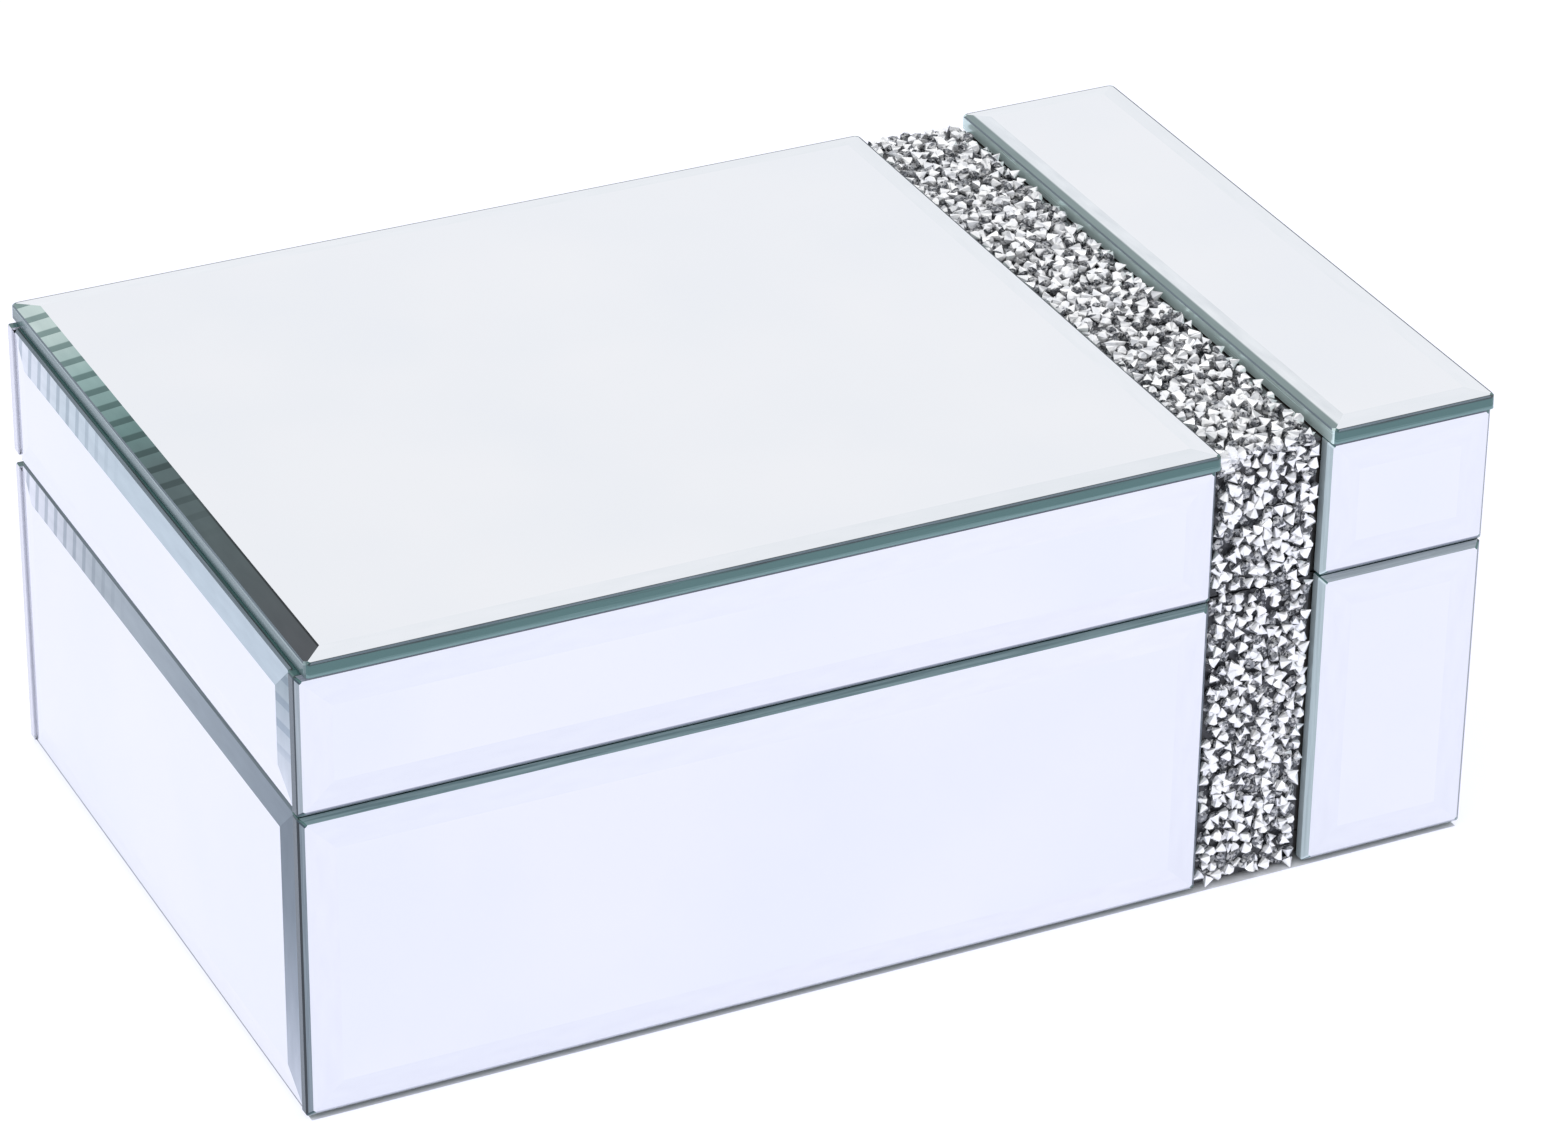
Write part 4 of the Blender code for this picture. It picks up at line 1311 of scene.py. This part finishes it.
@dataclass
class VelvetLining:
    """Velvet over foam on the floor and under the lid, and over thin cards on the walls."""

    cell: float = 3.2 * MM
    start_share: float = 0.62
    swell: float = 0.9 * MM
    frames: int = 20
    pressure: float = 4.0
    sideways: float = 0.3
    card_edge: float = 0.5 * MM
    card_cell: float = 5 * MM
    nap: float = 0.1 * MM
    nap_scale: float = 90.0

    def pad(self, node: str, body: Body, outward: int) -> None:
        """Make a padded panel that is fixed at its back and swells on its open side.

        Args:
            node: the CAD pad.
            body: the body it rides.
            outward: 1 where the open side looks up, -1 where it looks down.
        """
        low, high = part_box(node)
        depth = (high.z - low.z) * self.start_share
        back = low.z if outward > 0 else high.z
        level = back + outward * depth
        flat = sorted((back, level))
        work = block(Vector((low.x, low.y, flat[0])), Vector((high.x, high.y, flat[1])))
        for axis in (0, 1):
            slice_evenly(work, low, axis, self.cell, round((high[axis] - low[axis]) / self.cell))
        name = node.replace("velvet_", "velvet_padding_")
        piece = from_work(name, work)
        pinned = [v.index for v in piece.data.vertices if abs(v.co.z - back) < HAIR]
        self.inflate(piece, pinned, level, outward)
        rounding = piece.modifiers.new("rounding", "SUBSURF")
        rounding.levels = rounding.render_levels = 1
        mesh = evaluated(piece, name)
        soft = place_mesh(name, mesh, smooth=60.0)
        soft.data.materials.append(VELVET.material())
        settle(soft, body, [node])

    def crown(self, piece: bpy.types.Object, low: Vector, high: Vector, level: float,
              outward: int) -> None:
        """Args:
            piece: the pad.
            low: the pad's lowest corner.
            high: its highest corner.
            level: the open side's height before it swells.
            outward: 1 where it swells up, -1 where it swells down.
        """
        middle, half = (low + high) / 2, (high - low) / 2
        for vert in piece.data.vertices:
            if abs(vert.co.z - level) < HAIR:
                u, v = abs(vert.co.x - middle.x) / half.x, abs(vert.co.y - middle.y) / half.y
                vert.co.z += outward * self.swell * (1 - u ** 8) * (1 - v ** 6)

    def inflate(self, piece: bpy.types.Object, pinned: list[int], level: float,
                outward: int) -> None:
        """Swell the open side as pressed cloth, with each point's rise capped.

        Args:
            piece: the pad.
            pinned: the points glued to the board.
            level: the open side's height before it swells.
            outward: 1 where it swells up, -1 where it swells down.
        """
        rest = [v.co.copy() for v in piece.data.vertices]
        glued = piece.vertex_groups.new(name="glued")
        glued.add(pinned, 1.0, "REPLACE")
        step = piece.modifiers.new("swelling", "CLOTH")
        cloth = step.settings
        cloth.vertex_group_mass = "glued"
        cloth.use_pressure, cloth.uniform_pressure_force = True, self.pressure
        cloth.effector_weights.gravity = 0.0
        cloth.quality = 6
        scene = bpy.context.scene
        for index in range(1, self.frames + 1):
            scene.frame_set(index)
        graph = bpy.context.evaluated_depsgraph_get()
        shaped = [v.co.copy() for v in piece.evaluated_get(graph).data.vertices]
        piece.modifiers.remove(step)
        for vert, start, end in zip(piece.data.vertices, rest, shaped):
            move = end - start
            if move.length > self.swell:
                move *= self.swell / move.length
            move.x *= self.sideways
            move.y *= self.sideways
            vert.co = start + move
        scene.frame_set(1)

    def card(self, node: str, body: Body) -> None:
        """Make a velvet-covered wall card with soft edges and a slightly uneven nap.

        Args:
            node: the CAD card.
            body: the body it rides.
        """
        low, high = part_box(node)
        work = block(low, high)
        bmesh.ops.bevel(work, geom=work.edges[:], offset=self.card_edge, segments=3, profile=0.5,
                        affect="EDGES")
        for axis in range(3):
            slice_evenly(work, low, axis, self.card_cell,
                         int((high[axis] - low[axis]) / self.card_cell))
        work.normal_update()
        for vert in work.verts:
            vert.co += vert.normal * noise.noise(vert.co * self.nap_scale) * self.nap
        piece = from_work(node.replace("velvet_", "velvet_card_"), work, smooth=60.0)
        piece.data.materials.append(VELVET.material())
        settle(piece, body, [node])

    def build(self) -> None:
        """Make both pads and the eight wall cards."""
        self.pad("velvet_base_pad", Body.BASE, 1)
        self.pad("velvet_lid_pad", Body.LID, -1)
        for body in Body:
            for side in ("front", "back", "left", "right"):
                self.card(f"velvet_{body.value}_{side}", body)


@dataclass
class FeltUnderside:
    """The felt sheet glued under the floor board, with a slightly wandering cut edge."""

    node: str = "felt_underside"
    cell: float = 4.0 * MM
    wander: float = 0.25 * MM
    wander_scale: float = 160.0
    sharp: float = 1.0
    soft: float = 0.3 * MM

    def build(self) -> None:
        """Make the sheet."""
        low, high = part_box(self.node)
        work = block(low, high)
        for axis in (0, 1):
            slice_evenly(work, low, axis, self.cell, int((high[axis] - low[axis]) / self.cell))
        for vert in work.verts:
            for axis in (0, 1):
                if min(abs(vert.co[axis] - low[axis]), abs(vert.co[axis] - high[axis])) < HAIR:
                    vert.co[axis] += noise.noise(vert.co * self.wander_scale) * self.wander
        rim = [e for e in work.edges if len(e.link_faces) == 2
               and abs(e.calc_face_angle(0.0)) > self.sharp]
        bmesh.ops.bevel(work, geom=rim, offset=self.soft, segments=2, profile=0.5,
                        affect="EDGES")
        piece = from_work("felt_sheet", work, smooth=50.0)
        piece.data.materials.append(FELT.material())
        settle(piece, Body.BASE, [self.node])


# ---------------------------------------------------------------------------- hinges


@dataclass
class ButtHinges:
    """Two small butt hinges let into the back of the seam, with their pins and screws."""

    leaf: float = 0.8 * MM
    knuckle: float = 2.0 * MM
    pin: float = 0.95 * MM
    play: float = 0.3 * MM
    bore_play: float = 0.12 * MM
    ease: float = 0.2 * MM
    above: float = 0.2 * MM
    round_corner: float = 1.2 * MM
    middle: float = 8.0 * MM
    head: float = 1.5 * MM
    shank: float = 0.8 * MM
    sunk: float = 0.7 * MM
    steps: int = 48
    dome: tuple[tuple[float, float], ...] = (
        (0.0, 0.0), (0.55, 0.06 * MM), (0.9, 0.3 * MM), (1.0, 0.7 * MM))
    tip: float = 5.4 * MM
    turns: int = 9
    root: float = 0.72
    cross: tuple[float, float, float] = (0.95 * MM, 0.17 * MM, 0.45 * MM)

    def turned(self, name: str, profile: list[tuple[float, float]], steps: int) -> bpy.types.Mesh:
        """Turn a profile about the X axis.

        Args:
            name: the mesh's name.
            profile: radius and station pairs, from the axis back to the axis.
            steps: how many facets go round.

        Returns:
            The closed mesh.
        """
        work = bmesh.new()
        points = [work.verts.new((station, radius, 0.0)) for radius, station in profile]
        edges = [work.edges.new(pair) for pair in zip(points, points[1:])]
        bmesh.ops.spin(work, geom=points + edges, cent=(0, 0, 0), axis=(1, 0, 0), dvec=(0, 0, 0),
                       angle=math.tau, steps=steps, use_merge=True)
        bmesh.ops.remove_doubles(work, verts=work.verts[:], dist=HAIR / 10)
        bmesh.ops.recalc_face_normals(work, faces=work.faces)
        mesh = bpy.data.meshes.new(name)
        work.to_mesh(mesh)
        work.free()
        return mesh

    def barrel(self, name: str, radius: float, start: float, end: float,
               place: Vector) -> bpy.types.Object:
        """A round bar along X with eased ends, for joining or cutting.

        Args:
            name: the bar's name.
            radius: its radius.
            start: where it starts along X.
            end: where it ends.
            place: what is added to its place, which gives the axis.

        Returns:
            The bar as an object.
        """
        ease = min(self.ease, radius * 0.2)
        profile = [(0.0, start), (radius - ease, start), (radius, start + ease),
                   (radius, end - ease), (radius - ease, end), (0.0, end)]
        mesh = self.turned(name, profile, self.steps)
        mesh.transform(Matrix.Translation(place))
        return place_mesh(name, mesh)

    def make_leaf(self, label: str, body: Body) -> None:
        """Stamp one leaf, roll its knuckles and bore them.

        Args:
            label: left or right.
            body: the body whose leaf it is.
        """
        node = f"hinge_{label}_{body.value}_leaf"
        low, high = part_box(node)
        pin_low, pin_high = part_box(f"hinge_{label}_pin")
        axis = (pin_low + pin_high) / 2
        half = self.middle / 2
        if body is Body.BASE:
            plate = (Vector(low), Vector((high.x, axis.y, axis.z - self.above)))
            plate[0].z = plate[1].z - self.leaf
            cuts = [(axis.x - half - self.play, axis.x + half + self.play)]
            runs = [(low.x, cuts[0][0]), (cuts[0][1], high.x)]
        else:
            plate = (Vector((low.x, low.y, axis.z + self.above)),
                     Vector((high.x, axis.y, axis.z + self.above + self.leaf)))
            runs = [(axis.x - half, axis.x + half)]
            cuts = [(low.x - MM, runs[0][0]), (runs[0][1], high.x + MM)]
        work = block(*plate)
        uprights = [e for e in work.edges if abs(e.verts[0].co.z - e.verts[1].co.z) > SLACK
                    and e.verts[0].co.y < axis.y - MM]
        bmesh.ops.bevel(work, geom=uprights, offset=self.round_corner, segments=5, profile=0.5,
                        affect="EDGES")
        piece = from_work(f"{node}_stamped", work)
        shift = Vector((0.0, axis.y, axis.z))
        tools = [(self.barrel("cut", self.knuckle + self.play, *run, shift), "DIFFERENCE")
                 for run in cuts]
        tools += [(self.barrel("knuckle", self.knuckle, *run, shift), "UNION") for run in runs]
        tools.append((self.barrel("bore", self.pin + self.bore_play, low.x - MM, high.x + MM,
                                  shift), "DIFFERENCE"))
        for tool, operation in tools:
            step = piece.modifiers.new(operation.lower(), "BOOLEAN")
            step.operation, step.solver, step.object = operation, "EXACT", tool
        mesh = evaluated(piece, f"stamped_{node}")
        for tool, _ in tools:
            bpy.data.objects.remove(tool, do_unlink=True)
        made = place_mesh(mesh.name, mesh, smooth=32.0)
        made.data.materials.append(NICKEL.material())
        settle(made, body, [node])

    def make_pin(self, label: str) -> None:
        """Turn one pin with a domed head at each end.

        Args:
            label: left or right.
        """
        node = f"hinge_{label}_pin"
        low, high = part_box(node)
        axis = (low + high) / 2
        top = (high.z - low.z) / 2
        dome = [(top * share, reach) for share, reach in self.dome] + [(self.pin, self.dome[-1][1])]
        profile = [(radius, low.x + reach) for radius, reach in dome]
        profile += [(radius, high.x - reach) for radius, reach in reversed(dome)]
        mesh = self.turned(f"turned_{node}", profile, self.steps)
        mesh.transform(Matrix.Translation(Vector((0.0, axis.y, axis.z))))
        piece = place_mesh(mesh.name, mesh, smooth=40.0)
        piece.data.materials.append(NICKEL.material())
        settle(piece, Body.BASE, [node])

    def screw(self) -> bpy.types.Object:
        """Make one countersunk cross-head screw, its head's face on z = 0 and its shank below.

        Returns:
            The screw as an object for instancing.
        """
        profile = [(0.0, 0.0), (self.head - 0.08 * MM, 0.0), (self.head, 0.07 * MM),
                   (self.shank, self.sunk)]
        threaded = self.tip - 1.2 * MM - self.sunk
        for turn in range(self.turns):
            at = self.sunk + threaded * turn / self.turns
            profile += [(self.shank * self.root, at + 0.12 * MM), (self.shank, at + 0.3 * MM)]
        profile += [(self.shank * 0.4, self.tip - 0.3 * MM), (0.0, self.tip)]
        mesh = self.turned("screw", profile, 20)
        mesh.transform(Matrix.Rotation(math.radians(90), 4, "Y"))
        piece = place_mesh("screw", mesh)
        slots = []
        for index in range(2):
            long, wide, deep = self.cross
            work = block(Vector((-long, -wide, -deep)), Vector((long, wide, self.ease)))
            bmesh.ops.rotate(work, verts=work.verts, cent=(0, 0, 0),
                             matrix=Matrix.Rotation(math.radians(90 * index), 3, "Z"))
            slots.append(from_work(f"slot_{index}", work))
            step = piece.modifiers.new("slot", "BOOLEAN")
            step.operation, step.solver, step.object = "DIFFERENCE", "EXACT", slots[-1]
        cut = evaluated(piece, "cross_head_screw")
        for tool in slots:
            bpy.data.objects.remove(tool, do_unlink=True)
        cut.materials.clear()
        cut.materials.append(SCREW_NICKEL.material())
        return bpy.data.objects.new("cross_head_screw", cut)

    def screw_tree(self) -> bpy.types.NodeTree:
        """Draw the geometry tree that sets a row of screws by pairs along X.

        Returns:
            The tree, with the row's first place, the steps and the turn of its screws.
        """
        tree = bpy.data.node_groups.new("screw_pairs", "GeometryNodeTree")
        given = grouped_inputs(tree, {
            "Screw": "Object", "First": "Vector", "Pair": "Float", "Hinges": "Float",
            "Turn": "Vector", "Metal": "Material"}).outputs
        step = add_node(tree, "ShaderNodeCombineXYZ", inputs={0: given["Hinges"]})
        near = add_node(tree, "ShaderNodeCombineXYZ", inputs={0: given["Pair"]})
        hinges = add_node(tree, "GeometryNodeMeshLine", inputs={
            "Count": 2, "Start Location": given["First"], "Offset": step.outputs[0]})
        pair = add_node(tree, "GeometryNodeMeshLine", inputs={
            "Count": 2, "Offset": near.outputs[0]})
        pairs = add_node(tree, "GeometryNodeInstanceOnPoints", inputs={
            "Points": hinges.outputs[0], "Instance": pair.outputs[0]})
        places = add_node(tree, "GeometryNodeRealizeInstances", inputs={0: pairs.outputs[0]})
        shape = add_node(tree, "GeometryNodeObjectInfo", inputs={"Object": given["Screw"]})
        slack = add_node(tree, "FunctionNodeRandomValue", {"data_type": "FLOAT"}, {
            2: 0.0, 3: math.pi, 8: 5})
        about = add_node(tree, "ShaderNodeCombineXYZ", inputs={2: slack.outputs[1]})
        driven = add_node(tree, "FunctionNodeEulerToRotation", inputs={0: about.outputs[0]})
        flipped = add_node(tree, "FunctionNodeEulerToRotation", inputs={0: given["Turn"]})
        turned = add_node(tree, "FunctionNodeRotateRotation", {"rotation_space": "LOCAL"}, {
            0: flipped.outputs[0], 1: driven.outputs[0]})
        set_in = add_node(tree, "GeometryNodeInstanceOnPoints", inputs={
            "Points": places.outputs[0], "Instance": shape.outputs["Geometry"],
            "Rotation": turned.outputs[0]})
        real = add_node(tree, "GeometryNodeRealizeInstances", inputs={0: set_in.outputs[0]})
        plated = add_node(tree, "GeometryNodeSetMaterial", inputs={
            "Geometry": real.outputs[0], "Material": given["Metal"]})
        add_node(tree, "NodeGroupOutput", inputs={"Geometry": plated.outputs[0]})
        return tree

    def make_screws(self) -> None:
        """Drive each body's four screws."""
        screw, tree = self.screw(), self.screw_tree()
        for body in Body:
            nodes = [f"screw_{label}_{body.value}_{index}" for label in ("left", "right")
                     for index in (1, 2)]
            boxes = [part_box(node) for node in nodes]
            centres = [(low + high) / 2 for low, high in boxes]
            up = body is Body.BASE
            face = boxes[0][1].z if up else boxes[0][0].z
            mesh = run_tree(tree, f"hinge_screws_{body.value}", {
                "Screw": screw, "First": (centres[0].x, centres[0].y, face),
                "Pair": centres[1].x - centres[0].x, "Hinges": centres[2].x - centres[0].x,
                "Turn": (0.0, 0.0, 0.0) if up else (math.pi, 0.0, 0.0),
                "Metal": SCREW_NICKEL.material()})
            settle(place_mesh(mesh.name, mesh, smooth=35.0), body, nodes)
        bpy.data.objects.remove(screw, do_unlink=True)

    def build(self) -> None:
        """Make both hinges."""
        for label in ("left", "right"):
            for body in Body:
                self.make_leaf(label, body)
            self.make_pin(label)
        self.make_screws()


# ---------------------------------------------------------------------------- studio


@dataclass
class Studio:
    """A white light table, a soft bright surround with a dark ceiling, and the camera."""

    azimuth: float = -26.22
    elevation: float = 29.56
    roll: float = 0.80
    place: tuple[float, float, float] = (-0.46013, -0.95698, 0.64968)
    lens: float = 140.9
    shift: tuple[float, float] = (-0.0049, 0.0086)
    inset: float = 0.9 * MM
    reach: float = 4.0
    floor_level: float = -0.2 * MM
    shade_level: float = -0.1 * MM

    def camera(self) -> None:
        """Set up the camera at the product's usual three-quarter view."""
        azimuth, elevation, roll = (math.radians(angle) for angle in (
            self.azimuth, self.elevation, self.roll))
        back = Vector((math.sin(azimuth) * math.cos(elevation),
                       -math.cos(azimuth) * math.cos(elevation), math.sin(elevation)))
        right = Vector((0, 0, 1)).cross(back).normalized()
        up = back.cross(right)
        across = math.cos(roll) * right + math.sin(roll) * up
        upright = -math.sin(roll) * right + math.cos(roll) * up
        data = bpy.data.cameras.new("view")
        data.sensor_width, data.lens = 36.0, self.lens
        data.shift_x, data.shift_y = self.shift
        data.clip_start, data.clip_end = 0.05, 20.0
        eye = bpy.data.objects.new("view", data)
        eye.matrix_world = (Matrix.Translation(Vector(self.place))
                            @ Matrix((across, upright, back)).transposed().to_4x4())
        bpy.context.scene.collection.objects.link(eye)
        bpy.context.scene.camera = eye

    def sheet(self, name: str, left: float, front: float, right: float, back: float,
              level: float, finish: Finish) -> None:
        """Lay one level sheet on the stage.

        Args:
            name: the sheet's name.
            left: its lowest X.
            front: its lowest Y.
            right: its highest X.
            back: its highest Y.
            level: its height.
            finish: its finish.
        """
        work = bmesh.new()
        work.faces.new([work.verts.new((x, y, level)) for x, y in (
            (left, front), (right, front), (right, back), (left, back))])
        laid = from_work(name, work)
        laid.data.materials.append(finish.material())

    def table(self) -> None:
        """Lay the light table, and under the box a sheet without glow as its painted shadow."""
        self.sheet("studio_floor", -self.reach, -self.reach, self.reach, self.reach,
                   self.floor_level, TABLE)
        left, front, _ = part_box("mirror_base_front_left")[0]
        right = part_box("mirror_base_front_right")[1][0]
        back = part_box("mirror_base_back")[1][1]
        # Painted shadow: a sheet without glow under the box, so the gap under the glass stays dark.
        self.sheet("studio_footprint", left + self.inset, front + self.inset,
                   right - self.inset, back - self.inset, self.shade_level, SHADED_TABLE)

    def surround(self) -> None:
        """Draw the soft surround: pale walls, a dark ceiling band and a bright overhead panel."""
        world = bpy.data.worlds.new("soft_studio")
        world.use_nodes = True
        bpy.context.scene.world = world
        tree = world.node_tree
        ray = add_node(tree, "ShaderNodeTexCoord").outputs["Generated"]
        height = add_node(tree, "ShaderNodeSeparateXYZ", inputs={0: ray})
        tall = add_node(tree, "ShaderNodeMapRange", inputs={
            "Value": height.outputs["Z"], "From Min": -1.0, "From Max": 1.0})
        walls = ramp(tree, tall.outputs[0], (
            (0.0, "#F4F4FF"), (0.5, "#F0F2F8"), (0.56, "#FCFDFF"), (0.84, "#FCFDFF"),
            (0.9, "#7A7E86"), (0.955, "#5A5D64"), (0.97, "#FFFFFF")))
        background = tree.nodes["Background"]
        tree.links.new(walls, background.inputs["Color"])
        background.inputs["Strength"].default_value = 1.08

    def lamps(self) -> None:
        """Hang a large soft key lamp and a fill."""
        for name, place, size, power in (("key", (-0.9, -0.5, 1.7), 1.2, 9.0),
                                         ("fill", (1.3, -1.2, 1.3), 1.0, 3.0)):
            data = bpy.data.lights.new(name, "AREA")
            data.size, data.energy = size, power
            lamp = bpy.data.objects.new(name, data)
            lamp.location = place
            lamp.rotation_euler = (-Vector(place)).to_track_quat("-Z", "Y").to_euler()
            bpy.context.scene.collection.objects.link(lamp)

    def build(self) -> None:
        """Set up the stage and show light as it is measured."""
        self.camera()
        self.table()
        self.surround()
        self.lamps()
        bpy.context.scene.view_settings.view_transform = "Standard"


def main() -> None:
    """Build the whole box and its stage."""
    logging.basicConfig(level=logging.INFO, format="%(message)s")
    Studio().build()
    BoardCarcass().dress()
    MirrorCladding().build()
    CrushedCrystals().build()
    VelvetLining().build()
    FeltUnderside().build()
    ButtHinges().build()


if __name__ == "__main__":
    main()
